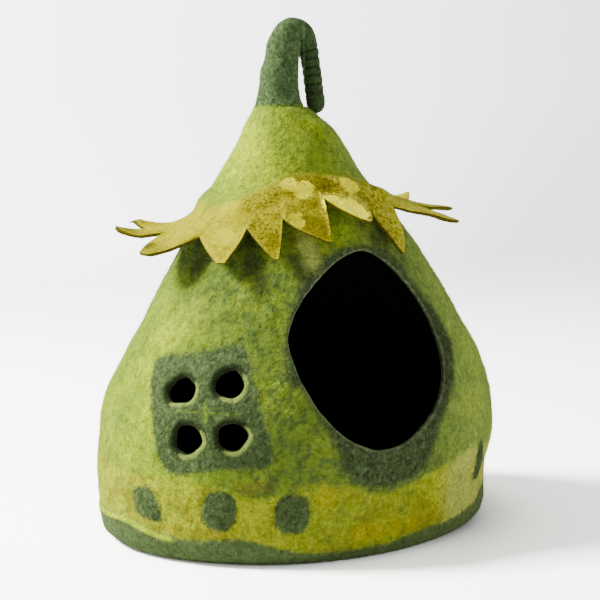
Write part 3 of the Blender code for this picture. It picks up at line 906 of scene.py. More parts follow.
class Wool(Nodes):
    """A felt material with its noises, painted zones and relief."""

    def __init__(self, name):
        self.material = bpy.data.materials.new(name)
        self.material.use_nodes = True
        super().__init__(self.material.node_tree)
        self.shader = self.tree.nodes["Principled BSDF"]
        for label, value in FELT_FINISH.items():
            self.shader.inputs[label].default_value = value
        self.place = self.add("ShaderNodeTexCoord").outputs["Object"]

    def moved(self, x, y, z):
        return self.add("ShaderNodeVectorMath", {0: self.place, 1: (x, y, z)}).outputs[0]

    def noise(self, size, detail=2.0, roughness=0.5, twist=0.0, seed=0.0):
        """Noise from 0 to 1 with spots about a size (in metres) across."""
        inputs = {
            "Vector": self.moved(seed, 0.37 * seed, -seed),
            "Scale": 1 / size,
            "Detail": detail,
            "Roughness": roughness,
            "Distortion": twist,
        }
        return self.add("ShaderNodeTexNoise", inputs).outputs["Fac"]

    def ragged(self, size, seed):
        """Uneven tufts of wool from 0 to 1, coarse and fine, that fray the border of a colour."""
        coarse = self.noise(size, 1, 0.5, 0.8, seed)
        fine = self.noise(0.42 * size, 2, 0.6, 1.2, seed + 4.7)
        both = self.times_plus(fine, 0.55, self.times(coarse, 0.45))
        return self.map_range(both, 0.34, 0.66)

    def chips(self, size, seed):
        """One chance value from 0 to 1 for each small angular chip of felt."""
        inputs = {"Vector": self.moved(seed, -seed, seed), "Scale": 1 / size}
        cells = self.add("ShaderNodeTexVoronoi", inputs).outputs["Color"]
        return self.add("ShaderNodeSeparateColor", {0: cells}).outputs[0]

    def painted(self, name):
        return self.add("ShaderNodeAttribute", attribute_name=name).outputs["Fac"]

    def zone(self, name, fray, softness, fray_by):
        """Share of a painted zone, with a border that is soft and frayed by some mm."""
        shift = self.times(self.maths("SUBTRACT", fray, 0.5), fray_by)
        return self.ramp(self.maths("ADD", self.painted(name), shift), -softness, softness)

    def finish(self, colour, depth=0.0016, contrast=1.0):
        """Shades a wool colour with tufts, pits and stray threads, and gives it its relief."""
        tufts = self.noise(0.0044, 2, 0.55, 0.3)
        clumps = self.noise(0.0120, 2, 0.5, 0.3, 3.1)
        grain = self.noise(0.0020, 2, 0.6, 0.3, 15.1)
        strands = self.noise(0.0075, 2, 0.5, 1.2, 7.7)
        off_line = self.maths("ABSOLUTE", self.maths("SUBTRACT", strands, 0.5))
        thread = self.ramp(self.times(off_line, -1.0), -0.030, 0.0)
        pits = self.ramp(self.noise(0.0062, 2, 0.5, 0.25, 11.3), 0.43, 0.27)
        # painted shade: the wool's colour is darker in its pits
        shade = self.times_plus(pits, -0.26 * contrast, 1.0)
        shade = self.times(shade, self.times_plus(thread, 0.10 * contrast, 1.0))
        for value, swing in ((tufts, 0.22), (clumps, 0.12), (grain, 0.24)):
            swing *= contrast
            shade = self.times(shade, self.map_range(value, 0.30, 0.70, 1 - swing, 1 + swing))
        colour = self.blend(1.0, colour, self.grey(shade), "MULTIPLY")
        self.tree.links.new(colour, self.shader.inputs["Base Color"])
        height = tufts
        for value, share in ((pits, -0.30), (thread, 0.05), (clumps, 0.9), (grain, 0.20)):
            height = self.times_plus(value, share, height)
        bump = self.add("ShaderNodeBump", {"Height": height, "Distance": depth, "Strength": 0.9})
        self.tree.links.new(bump.outputs["Normal"], self.shader.inputs["Normal"])
        return self.material


# --- the wools ---------------------------------------------------------------------------------


def cone_green(wool):
    """The lime wool of the cone and wall: yellower and mossier by patches, with painted light on the
    cone's lit left side and painted shade over its middle.
    """
    across, _, up = wool.split(wool.place)
    wide = wool.ramp(wool.noise(0.050, 2, 0.5, 0.3, 1.7), 0.34, 0.78)
    patches = wool.ramp(wool.noise(0.0095, 3, 0.6, 0.4, 4.9), 0.44, 0.64)
    mossy = wool.between(across, (-0.160, -0.112), (0.120, 0.060))
    mossy = wool.times(mossy, wool.ramp(up, 0.310, 0.270))
    # painted light on the cone's upper left, where the key light falls, and painted shade over its
    # middle
    lit_cone = wool.times(wool.ramp(up, 0.330, 0.360), wool.ramp(across, -0.028, -0.055))
    cone_painted_shade = wool.between(across, (-0.048, -0.030), (0.010, -0.006))
    cone_painted_shade = wool.times(cone_painted_shade, wool.ramp(up, 0.320, 0.350))
    return wool.laid(
        wool.blend(wide, LIME, LIME_YELLOW),
        (wool.ramp(across, 0.0, 0.05), 0.5, CONE_OLIVE),
        (lit_cone, 1.0, LIME_YELLOW),
        (cone_painted_shade, 0.28, MOSS),
        (mossy, wool.times_plus(patches, 0.30, 0.62), MOSS),
        (patches, 0.32, MOSS),
    )


def band_yellow(wool, across):
    """The yellow band: golden and green by patches, duller in the middle and paler at the right."""
    gold = wool.ramp(wool.noise(0.034, 3, 0.6, 0.8, 9.1), 0.48, 0.62)
    green = wool.ramp(wool.noise(0.012, 3, 0.6, 1.0, 5.3), 0.52, 0.64)
    return wool.laid(
        wool.blend(gold, YELLOW, GOLD),
        (green, 0.35, MOSS),
        (wool.between(across, (-0.135, -0.060), (0.070, 0.030)), 0.32, MOSS),
        (wool.ramp(across, 0.070, 0.110), 0.6, BAND_PALE),
    )


def wall_wool():
    wool = Wool("wall_wool")
    fray = wool.ragged(0.0080, 2.3)
    tatter = wool.ragged(0.0150, 5.3)
    mixed = wool.ramp(wool.noise(0.0050, 2, 0.6, 0.8, 6.3), 0.36, 0.70)
    across, _, up = wool.split(wool.place)
    low_front = wool.times(wool.ramp(across, -0.160, -0.130), wool.ramp(up, 0.135, 0.105))
    sage = wool.laid(wool.blend(mixed, SAGE, SAGE_LIGHT), (low_front, 0.32, RING_SAGE))
    ring = wool.blend(mixed, RING_SAGE, RING_LIGHT)
    ring = wool.laid(ring, (wool.ramp(across, 0.045, 0.090), 0.42, DEEP_SAGE_AND_SHADE))
    base = wool.blend(mixed, BASE_GREEN, SAGE_LIGHT)
    base = wool.laid(base, (wool.ramp(across, 0.030, 0.100), 0.14, BASE_OLIVE))
    colour = wool.laid(
        cone_green(wool),
        (wool.zone("yellow_band", tatter, 4.5, 9.0), 1.0, band_yellow(wool, across)),
        (wool.zone("golden_patch", tatter, 4.0, 9.0), 0.7, MUSTARD),
        (wool.zone("brown_tuft", fray, 3.0, 8.0), 0.6, BROWN),
        (wool.zone("dark_base", fray, 2.4, 3.5), 1.0, base),
        (wool.zone("base_lip", fray, 1.4, 1.0), 1.0, LIME_YELLOW),
        (wool.zone("dot_stain", fray, 2.8, 4.0), 1.0, sage),
        (wool.zone("window_patch", fray, 3.0, 4.0), 1.0, sage),
        (wool.zone("patch_cross", fray, 1.6, 3.0), 0.85, LIME),
        (wool.zone("door_ring", fray, 5.6, 5.0), 1.0, ring),
        # painted highlight on the door's rim
        (wool.zone("door_lip", fray, 1.0, 1.6), 0.8, DOOR_LIP_HIGHLIGHT),
        (wool.zone("leaf_light", tatter, 6.0, 4.0), 0.6, BAND_PALE),
        (wool.zone("leaf_shade", tatter, 6.0, 4.0), 0.85, SHADE_GREEN),
        # painted shade round and in the windows, and a painted highlight on their sunny rims
        (wool.zone("hole_shade", fray, 2.8, 2.0), 1.0, DEEP_SAGE_AND_SHADE),
        (wool.zone("window_rim_highlight", fray, 1.3, 1.6), 0.68, RIM_HIGHLIGHT_GREEN),
    )
    return wool.finish(colour)


# the inside wool: near-black painted shade for the dark inside of the cave
def inside_wool():
    wool = Wool("inside_wool")
    wool.shader.inputs["Sheen Weight"].default_value = 0.0
    thin = wool.ramp(wool.noise(0.006, 3, 0.6, 0.8, 1.9), 0.45, 0.70)
    return wool.finish(wool.blend(thin, INSIDE, INSIDE_LIGHT))


def leaf_wool():
    wool = Wool("leaf_wool")
    across = wool.split(wool.place)[0]
    fray = wool.ragged(0.0050, 2.9)
    tatter = wool.ragged(0.0140, 8.3)
    streak = wool.noise(0.0095, 3, 0.6, 1.6, 7.3)
    mottle = wool.ramp(wool.noise(0.026, 2, 0.5, 0.6, 3.3), 0.42, 0.62)
    speck = wool.ramp(wool.noise(0.0024, 3, 0.65, 0.2, 6.1), 0.45, 0.61)
    speck = wool.times(speck, wool.zone("speckled", tatter, 5.0, 8.0))
    tan = wool.times(wool.zone("tan", tatter, 6.0, 12.0), wool.ramp(streak, 0.40, 0.58))
    chipped = wool.times_plus(fray, 0.45, wool.times(wool.chips(0.0085, 0.4), 0.55))
    # lit and shaded copies of the lemon wool: darker on the collar's left, where the key light falls,
    # and brighter further right
    lemon = wool.blend(wool.ramp(across, -0.014, -0.052), LEMON, LEMON_LIT)
    colour = wool.laid(
        wool.blend(mottle, MUSTARD, MUSTARD_DARK),
        (wool.ramp(across, -0.055, -0.095), 1.0, MUSTARD_PALE),
        (wool.ramp(across, -0.138, -0.160), 0.8, MUSTARD_DARK),
        (wool.ramp(across, 0.060, 0.100), 0.34, TAN),
        (tan, 1.0, TAN),
        (wool.ramp(streak, 0.52, 0.64), 0.40, OLIVE_BROWN),
        (speck, 0.78, OLIVE_BROWN),
        (wool.zone("lemon", chipped, 1.3, 9.0), 1.0, lemon),
        (speck, 0.22, OLIVE_BROWN),
        (wool.zone("mottled_tip", tatter, 4.0, 10.0), 1.0, OLIVE_BROWN),
        (wool.zone("leaf_edge", fray, 0.7, 1.6), 0.16, TAN),
        (wool.zone("melts_in", tatter, 8.0, 8.0), 1.0, cone_green(wool)),
        # painted shade: the whole underside of the leaves, rim included, is laid dark brown
        (wool.painted("under"), 0.92, UNDERSIDE_SHADE),
    )
    return wool.finish(colour, 0.0009, 0.6)


def stem_wool():
    wool = Wool("stem_wool")
    across = wool.split(wool.place)[0]
    fray = wool.ragged(0.0050, 2.3)
    mixed = wool.ramp(wool.noise(0.0040, 3, 0.6, 0.8, 6.3), 0.34, 0.70)
    colour = wool.laid(
        wool.blend(mixed, STEM_GREEN, STEM_LIGHT),
        (wool.ramp(across, 0.006, 0.016), 0.34, DEEP_SAGE_AND_SHADE),
        # painted shade in the creases across the tail's folds
        (wool.zone("crease_shade", fray, 0.7, 0.6), 1.0, DEEP_SAGE_AND_SHADE),
        (wool.zone("pale_edge", fray, 1.0, 1.6), 1.0, STEM_LIGHT),
        (wool.zone("cone_foot", fray, 1.2, 4.0), 1.0, cone_green(wool)),
    )
    return wool.finish(colour, 0.0010, 0.8)


# --- the body ----------------------------------------------------------------------------------


def paint_wall(obj, points, openings, depth=0.0):
    """Keeps how far each point of the wall is inside each zone of wool, painted light and painted
    shade.
    """
    bearing, height = bearing_of(points), points[:, 2]
    over_base = height - round_curve(BASE_TOP, bearing)
    pale, dark = inside_hole_edges(points, openings[1:], depth)
    zones = {
        "door_ring": inside_door_ring(points),
        "door_lip": inside_door_lip(points, openings[0], depth),
        "window_patch": inside_patch(bearing, height),
        "patch_cross": inside_cross(bearing, height),
        "yellow_band": round_curve(YELLOW_TOP, bearing) - height,
        "dark_base": -over_base,
        "base_lip": inside_base_lip(bearing, over_base),
        "dot_stain": inside_stains(bearing, height),
        "golden_patch": inside_spots(points, spots_on_wall(GOLDEN_PATCHES)),
        "leaf_shade": inside_spots(points, spots_on_wall(LEAF_SHADES), SHADE_STRETCH),
        "leaf_light": inside_spots(points, spots_on_wall(LEAF_LIGHTS), LIGHT_STRETCH),
        "brown_tuft": inside_spots(points, [BROWN_TUFT], TUFT_STRETCH),
        "window_rim_highlight": pale,
        "hole_shade": dark,
    }
    for name, inside in zones.items():
        paint_zone(obj, name, inside)


def spots_on_wall(dots):
    return [Spot(wall_points(dot.bearing, dot.height), dot.radius) for dot in dots]


def inside_door_ring(points):
    """Inside the dark ring round the door, which is thinner at its upper left."""
    ring = -outline_gap(points[:, [0, 2]], smooth_outline(DOOR_RING_OUTLINE, 4))[0]
    high, left = soft_step(0.11, 0.16, points[:, 2]), soft_step(0.07, 0.02, points[:, 0])
    ring = np.clip(ring - RING_THINNER * high * left, -ZONE_REACH, ZONE_REACH)
    return np.where(points[:, 1] < FRONT_Y, ring, -ZONE_REACH)


def inside_door_lip(points, door, depth):
    """Inside the painted highlight on the door's rim, on the outer half of its wall."""
    return DOOR_RIM - np.abs(opening_gap(door, points)) - 0.004 * soft_step(0.3, 0.5, depth)


def inside_patch(bearing, height):
    """Inside the dark patch round the windows."""
    patch = smooth_outline(PATCH_OUTLINE, 3) * (math.radians(1) * PATCH_RADIUS, 1)
    places = np.stack([np.radians(bearing) * PATCH_RADIUS, height], axis=1)
    return -outline_gap(places, patch)[0]


def inside_cross(bearing, height):
    """Inside the thin green cross between the windows, whose arms taper to their ends."""
    above = height - PATCH_CROSS[1]
    across = np.radians(bearing - PATCH_CROSS[0]) * PATCH_RADIUS + 0.1 * above

    def arm(aside, along, half_width, straight, taper):
        return half_width - np.abs(aside) - taper * np.maximum(np.abs(along) - straight, 0)

    return np.maximum(arm(across, above, *CROSS_UPRIGHT), arm(above, across, *CROSS_LEVEL))


def inside_base_lip(bearing, over_base):
    """Inside the pale line along the dark base, on the left side alone."""
    ends = soft_step(-60, -44, bearing) + soft_step(-110, -125, bearing)
    return BASE_LIP - np.abs(over_base + BASE_LIP_DROP) - 0.02 * ends


def inside_stains(bearing, height):
    """Inside the dark wool that the dots are felted into, wider and less even than they are."""
    stain = np.full(len(bearing), -ZONE_REACH)
    for dot, corners in zip(DOTS, itertools.cycle(DOT_SHAPES)):
        outline = smooth_outline(corners, 3) / MM_PER_M
        radius = np.linalg.norm(wall_points(dot.bearing, dot.height))
        turn = np.radians((bearing - dot.bearing + 180) % 360 - 180)
        places = np.stack([turn * radius, height - dot.height], axis=1)
        near = np.abs(turn) < STAIN_TURN
        stain[near] = np.maximum(stain[near], -outline_gap(places[near], outline)[0])
    return stain


def inside_hole_edges(points, windows, depth):
    """Inside the painted highlight on the windows' sunny rims, and inside the painted shade round
    them and in their tunnels.
    """
    pale = dark = np.full(len(points), -ZONE_REACH)
    deep = soft_step(0.25, 0.45, depth)
    for window in windows:
        gap = opening_gap(window, points)
        # painted highlight on each rim's sunny side near its outer face; painted shade round and in
        # each window, less on the sunny side
        sunny = soft_step(-0.2, 0.5, unit(places_on(window, points)) @ SUNNY_SIDE)
        pale = np.maximum(pale, RIM_HIGHLIGHT_REACH - np.abs(gap) - 0.006 * (1 - sunny + deep))
        dark = np.maximum(dark, HOLE_SHADE - gap - 0.0012 * sunny)
    return pale, dark


def smooth_outline(corners, steps):
    """A closed smooth curve through corners."""
    corners = np.asarray(corners, float)
    count = len(corners)
    places = np.arange(-3, count + 4)
    at = np.arange(count * steps) / steps
    columns = [smooth_curve(places, corners[places % count, k], at) for k in (0, 1)]
    return np.stack(columns, axis=1)


def wall_relief(points, depth):
    """How far the hand-felted surface stands out or in."""
    bearing, height = bearing_of(points), points[:, 2]
    relief = hills(points, WALL_HILLS)
    over_base = height - round_curve(BASE_TOP, bearing)
    lipped = soft_step(-40, -62, bearing) * soft_step(-130, -95, bearing)
    for groove, below, half_width in BASE_GROOVES:
        relief -= groove * lipped * np.exp(-(((over_base + below) / half_width) ** 2))
    along = np.clip((points - CREASE_TOP) @ CREASE_WAY / (CREASE_WAY @ CREASE_WAY), 0, 1)
    from_crease = np.linalg.norm(points - CREASE_TOP - CREASE_WAY * along[:, None], axis=1)
    relief -= CREASE_DEPTH * np.exp(-((from_crease / CREASE_HALF_WIDTH) ** 2))
    under_leaves = soft_step(0.285, 0.300, height) * soft_step(0.362, 0.350, height)
    relief = relief * (1 - 0.8 * under_leaves) - 0.0004 * under_leaves
    return relief * soft_step(0.001, 0.012, height) * (1 - 0.6 * depth)


def felt_body():
    """The hollow body in one closed skin: outside, the rounded lips of its holes, and inside."""
    openings = all_openings()
    outer, outer_faces, outer_edges = cut_openings(*stitch_rings(outer_rings()), openings)
    inner, inner_faces, inner_edges = cut_openings(*stitch_rings(inner_rings()), openings)
    points = [outer, inner]
    depth = [np.zeros(len(outer)), np.ones(len(inner))]
    faces = [outer_faces, inner_faces[:, ::-1] + len(outer)]
    count = len(outer) + len(inner)
    for opening, edge, inner_edge in zip(openings, outer_edges, inner_edges):
        numbers = np.array(edge)
        for k, ring in enumerate(lip_rings(opening, outer[edge]), start=1):
            points.append(ring)
            depth.append(np.full(len(ring), k / LIP_ROWS))
            after = count + np.arange(len(ring))
            count += len(ring)
            a2, b2 = np.roll(numbers, -1), np.roll(after, -1)
            faces.append(np.stack([numbers, after, b2], axis=1))
            faces.append(np.stack([numbers, b2, a2], axis=1))
            numbers = after
        inner_numbers = [len(outer) + k for k in inner_edge]
        turns = turn_on(opening, ring), turn_on(opening, inner[inner_edge])
        zipped = zip_loops(list(numbers), turns[0], inner_numbers, turns[1])
        faces.append(np.array(zipped)[:, ::-1])
    points, depth = np.concatenate(points), np.concatenate(depth)
    body = felt_object("felt_body", points, np.concatenate(faces), wall_wool())
    body.data.materials.append(inside_wool())
    corners = np.array([polygon.vertices for polygon in body.data.polygons])
    is_inside = depth[corners].min(axis=1) > INSIDE_FROM
    body.data.polygons.foreach_set("material_index", is_inside.astype(int))
    paint_wall(body, points, openings, depth)
    paint(body, "inner_side", depth)
    move_points(body, points + normals_of(body) * wall_relief(points, depth)[:, None])
    return body


# --- the collar of leaves ----------------------------------------------------------------------

Edge = namedtuple("Edge", "bearing height lift curl leaf share")


def side_point(notch, tip, share, power):
    bent = share**power
    dip = LEAF_DIP_PER_CURL * tip.curl * math.sin(math.pi * share)
    return Edge(
        notch.bearing + (tip.bearing - notch.bearing) * share,
        notch.height + (tip.height - notch.height) * bent - dip,
        notch.lift + (tip.lift - notch.lift) * bent,
        tip.curl * share**LEAF_CURL_POWER,
        tip.leaf,
        share,
    )


def leaf_edge_points():
    """The collar's outer edge, in at each notch and out at each tip."""
    edges = []
    shares = [k / LEAF_SIDE_STEPS for k in range(LEAF_SIDE_STEPS)]
    for number, (leaf, following) in enumerate(zip(LEAVES, LEAVES[1:] + LEAVES[:1])):
        next_bearing = following.notch_bearing
        if next_bearing < leaf.notch_bearing:
            next_bearing += 360
        radius = np.linalg.norm(wall_points(leaf.tip_bearing, leaf.tip_height))
        half = math.degrees(0.5 * leaf.tip_width / radius)
        flat = (0.0, number, 0.0)
        notch = Edge(leaf.notch_bearing, leaf.notch_height, leaf.notch_lift, *flat)
        next_notch = Edge(next_bearing, following.notch_height, following.notch_lift, *flat)
        tip = (leaf.tip_height, leaf.tip_lift, leaf.curl, number, 1.0)
        near_tip = Edge(leaf.tip_bearing - half, *tip)
        far_tip = Edge(leaf.tip_bearing + half, *tip)
        edges += [side_point(notch, near_tip, share, leaf.side_power) for share in shares]
        edges += [near_tip, Edge(leaf.tip_bearing, *tip), far_tip]
        far_side = [side_point(next_notch, far_tip, share, leaf.side_power) for share in shares]
        edges += far_side[:0:-1]
    return edges


def fall_of(direction, outward):
    return np.arctan2(-direction[..., 2], (direction * outward).sum(axis=-1))


def leaf_columns(edges):
    """Points (columns, rows, 3) from the collar's upper edge down each column to its outer edge."""
    bearing = np.array([edge.bearing for edge in edges])
    top_height = round_curve([(leaf.notch_bearing, leaf.top_height) for leaf in LEAVES], bearing)
    hug = round_curve([(leaf.notch_bearing, leaf.hug) for leaf in LEAVES], bearing)
    outward = heading(bearing)
    top = wall_points(bearing, top_height)
    knee = wall_points(bearing, top_height - hug)
    lift = np.array([edge.lift for edge in edges])
    end = wall_points(bearing, np.array([edge.height for edge in edges])) + outward * lift[:, None]
    start = unit(knee - top)
    chord = end - knee
    fall = fall_of(chord, outward)
    curl = np.radians([edge.curl for edge in edges])
    end_fall = fall - LEAF_ARCH * (fall_of(start, outward) - fall) - curl
    finish = outward * np.cos(end_fall)[:, None] - UP * np.sin(end_fall)[:, None]
    end_reach = np.linalg.norm(chord, axis=1)[:, None] * LEAF_END_SHARE
    start_reach = (LEAF_START_REACH + LEAF_START_HUG_SHARE * hug)[:, None]
    controls = (knee, knee + start * start_reach, end - finish * end_reach, end)
    rows = [wall_points(bearing, top_height - hug * k / HUG_ROWS) for k in range(HUG_ROWS)]
    for k in range(LEAF_ROWS + 1):
        t = k / LEAF_ROWS
        weights = ((1 - t) ** 3, 3 * t * (1 - t) ** 2, 3 * t * t * (1 - t), t**3)
        rows.append(sum(weight * control for weight, control in zip(weights, controls)))
    columns = np.stack(rows, axis=1)
    held = np.clip(columns[..., 2], FOOT_RISE, STEM_SEAT_HEIGHT)
    many = np.repeat(bearing[:, None], columns.shape[1], axis=1)
    wall = wall_points(many, held) + wall_normals(many, held) * LEAF_CLEARANCE
    short = ((wall - columns) * heading(many)).sum(axis=-1)
    return columns + heading(many) * np.maximum(short, 0.0)[..., None]


def leaf_collar():
    """The collar of leaves, a closed sheet, and the area of its felt."""
    edges = leaf_edge_points()
    columns = leaf_columns(edges)
    count, rows = columns.shape[:2]
    lengths = np.linalg.norm(np.diff(columns, axis=1), axis=2)
    from_top = np.concatenate([np.zeros((count, 1)), np.cumsum(lengths, axis=1)], axis=1)
    from_edge = from_top[:, -1:] - from_top
    bearing = np.array([edge.bearing for edge in edges])
    down = np.gradient(columns, axis=1)
    normals = unit(np.cross(down, heading(bearing + 90.0)[:, None, :]))
    outward = heading(bearing)[:, None, :]
    normals *= np.sign((normals * (outward + UP)).sum(axis=-1, keepdims=True))
    full = soft_step(0, LEAF_FULL_FROM, from_top)
    thickness = LEAF_THICKNESS * (LEAF_THIN_SHARE + (1 - LEAF_THIN_SHARE) * full)
    relief = hills(columns, LEAF_HILLS) * soft_step(0.0, 0.012, from_top)
    share = np.array([edge.share for edge in edges])[:, None]
    fold = np.where([edge.leaf == FOLDED_LEAF for edge in edges], 1.0, 0.25)[:, None]
    outer_part = soft_step(0.35, 1.0, np.linspace(0, 1, rows))
    relief += LEAF_FOLD * fold * outer_part * (share - 0.4)
    rounded = soft_step(0, LEAF_EDGE_ROUND, from_edge)
    sunk = LEAF_SUNK * (1 - soft_step(0, 0.010, from_top))
    sunk += LEAF_SUNK_OUT * soft_step(LEAF_FULL_FROM, 0.030, from_top)
    over = 1 - LEAF_OVER_ROUND * (1 - rounded)
    under = LEAF_UNDER_ROUND * (1 - rounded)
    upper, lower = [
        columns + normals * (thickness * side + relief - sunk)[..., None] for side in (over, under)
    ]
    lifted = thickness[:, -1:] * LEAF_RIM_SHARE + relief[:, -1:]
    rim = columns[:, -1] + normals[:, -1] * lifted
    rim += unit(down[:, -1]) * LEAF_RIM_REACH
    rings = [*np.swapaxes(upper, 0, 1), rim, *np.swapaxes(lower, 0, 1)[::-1]]
    points, faces = stitch_rings(rings)
    first = np.arange(count)
    last = len(points) - count + first
    first2, last2 = np.roll(first, -1), np.roll(last, -1)
    closing = [np.stack(three, axis=1) for three in ((first, last, last2), (first, last2, first2))]
    faces = np.concatenate([faces, *closing])
    collar = felt_object("collar_of_leaves", points, faces, leaf_wool())
    # marks the underside and rim of the leaves for their painted shade
    paint(collar, "under", np.repeat([0.0, 1.0], [count * rows, count * (rows + 1)]))
    paint_leaves(collar, points, round_sheet(from_top), round_sheet(from_edge))
    return collar, sheet_area(0.5 * (upper + lower))


def round_sheet(values):
    """The columns' values in the order of the sheet's points: over it, on its rim and under it."""
    return np.concatenate([values.T.ravel(), values[:, -1], values.T[::-1].ravel()])


def paint_leaves(collar, points, from_top, from_edge):
    """Keeps how far each point of the collar is inside each zone of wool."""
    bearing = bearing_of(points)
    speckled = 0.018 * soft_step(-66, -44, bearing) * soft_step(48, 20, bearing) - 0.008
    zones = {
        "melts_in": 0.003 + 0.018 * soft_step(-45, -80, bearing) - from_top,
        "leaf_edge": LEAF_RIM - from_edge,
        "lemon": inside_spots(points, LEMON_SPOTS),
        "speckled": speckled - 0.35 * np.clip(from_top - 0.012, 0, 0.02),
        "tan": 0.030 * soft_step(-12, 20, bearing) * soft_step(110, 80, bearing) - 0.015,
        "mottled_tip": inside_spots(points, [MOTTLED_TIP]),
    }
    for name, inside in zones.items():
        paint_zone(collar, name, inside)


def sheet_area(columns):
    """Area of a sheet given as a ring of columns of points."""
    a, b = columns[:, :-1], columns[:, 1:]
    c, d = np.roll(a, -1, axis=0), np.roll(b, -1, axis=0)
    halves = np.cross(b - a, c - a), np.cross(b - d, c - d)
    return float(sum(0.5 * np.linalg.norm(half, axis=-1).sum() for half in halves))


# --- the stem ----------------------------------------------------------------------------------


def stem_value(field, at):
    values = [getattr(point, field) for point in STEM_POINTS]
    return smooth_curve(np.arange(len(STEM_POINTS)), values, at)


def stem_middle(at):
    right = heading(STEM_VIEW_BEARING + 90.0)
    back = -heading(STEM_VIEW_BEARING)
    middle = right * stem_value("right", at)[..., None] + back * stem_value("back", at)[..., None]
    middle[..., 2] = stem_value("height", at)
    return middle


def stem_loop():
    """The stem, swept from its root over and down, with folds across the hanging end."""
    last = len(STEM_POINTS) - 1
    at = np.arange(last * STEM_STEPS + 1) / STEM_STEPS
    middles = stem_middle(at)
    along = unit(stem_middle(np.minimum(at + 0.05, last)) - stem_middle(np.maximum(at - 0.05, 0)))
    along[0] = UP
    radius = stem_value("radius", at)
    hanging = soft_step(STEM_HANG_FROM - 0.6, STEM_HANG_FROM + 0.6, at)
    folds = sum(np.exp(-(((middles[:, 2] - z) / FOLD_HALF_WIDTH) ** 2)) for z in STEM_FOLDS)
    folds = hanging * np.minimum(folds, 1.0)
    radius = radius * (1 - FOLD_DEPTH * folds)
    turns = 0.5 * math.pi * np.arange(1, STEM_TIP_ROWS + 1) / (STEM_TIP_ROWS + 1)
    tip = middles[-1] + np.outer(radius[-1] * np.sin(turns), along[-1])
    middles = np.concatenate([middles, tip])
    radius = np.concatenate([radius, radius[-1] * np.cos(turns)])
    along = np.concatenate([along, np.repeat(along[-1:], len(tip), axis=0)])
    side = heading(STEM_VIEW_BEARING + 90.0)
    angle = math.tau * np.arange(STEM_SIDES) / STEM_SIDES
    rings = []
    for middle, way, reach in zip(middles, along, radius):
        side = unit(side - way * (side @ way))
        spokes = np.outer(np.cos(angle), side) + np.outer(np.sin(angle), np.cross(way, side))
        rings.append(middle + spokes * reach)
    sunk = UP * STEM_SUNK
    foot = shrink(rings[0], 0.97, middles[0]) - sunk
    rings = [middles[:1] - sunk, foot, *rings, middles[-1:] + along[-1:] * STEM_TIP_REACH]
    points, faces = stitch_rings(rings)
    stem = felt_object("stem_and_loop", points, faces, stem_wool())
    plain = [-0.001]
    # painted shade that darkens the creases of the folds
    crease_shade = np.concatenate([plain * 2, 0.0016 * folds - 0.0007, plain * (len(tip) + 1)])
    paint_stem(stem, points, np.repeat(crease_shade, [len(ring) for ring in rings]))
    relief = hills(points, STEM_HILLS) * soft_step(0.4143, 0.418, points[:, 2])
    move_points(stem, points + normals_of(stem) * relief[:, None])
    return stem


def paint_stem(stem, points, crease_shade):
    """Keeps how far each point of the stem is inside each zone of wool, and inside the painted shade
    of its creases.
    """
    right = points @ heading(STEM_VIEW_BEARING + 90.0)
    root = np.arange(len(points)) < (2 + STEM_ROOT_POINTS * STEM_STEPS) * STEM_SIDES
    foot_top = CONE_FOOT_TOP + 0.03 * (right + 0.014)
    pale = np.clip(0.0009 - np.abs(right - TAIL_PALE_EDGE), -TAIL_PALE_REACH, TAIL_PALE_REACH)
    paint_zone(stem, "crease_shade", crease_shade)
    paint_zone(stem, "cone_foot", np.where(root, foot_top - points[:, 2], -ZONE_REACH))
    paint_zone(stem, "pale_edge", np.where(root, -TAIL_PALE_REACH, pale))


# --- the dots ----------------------------------------------------------------------------------


def felt_dot(number, dot, material, openings):
    """A thin disc of felt, uneven at its edge, that follows the wall."""
    angle = math.tau * np.arange(DOT_SIDES) / DOT_SIDES
    wobble = 1 + sum(
        depth * np.sin(waves * angle + shift * number) for waves, shift, depth in DOT_WAVES
    )
    body_radius = np.linalg.norm(wall_points(dot.bearing, dot.height))

    def ring(share, lifted):
        reach = dot.radius * share * wobble
        bearing = dot.bearing - np.degrees(reach * np.sin(angle) / body_radius)
        height = dot.height + reach * np.cos(angle)
        wall = wall_points(bearing, height)
        relief = wall_relief(wall, np.zeros(len(wall)))
        return wall + wall_normals(bearing, height) * (lifted + relief)[:, None]

    rings = [ring(*row) for row in DOT_RINGS]
    inner, outer = [np.mean(end, axis=0, keepdims=True) for end in (rings[0], rings[-1])]
    points, faces = stitch_rings([inner, *rings, outer])
    obj = felt_object(f"felt_dot_{number:02d}", points, faces, material)
    paint_wall(obj, points, openings)
    return obj


# --- stray fibres ------------------------------------------------------------------------------

FIBRE_INPUTS = (
    ("Felt", "Geometry", None),
    ("Per square metre", "Float", 1000.0),
    ("Length", "Float", 0.004),
    ("Thickness", "Float", 0.0001),
    ("Seed", "Int", 1),
    ("Lowest", "Float", 0.006),
    ("Wool", "Material", None),
)


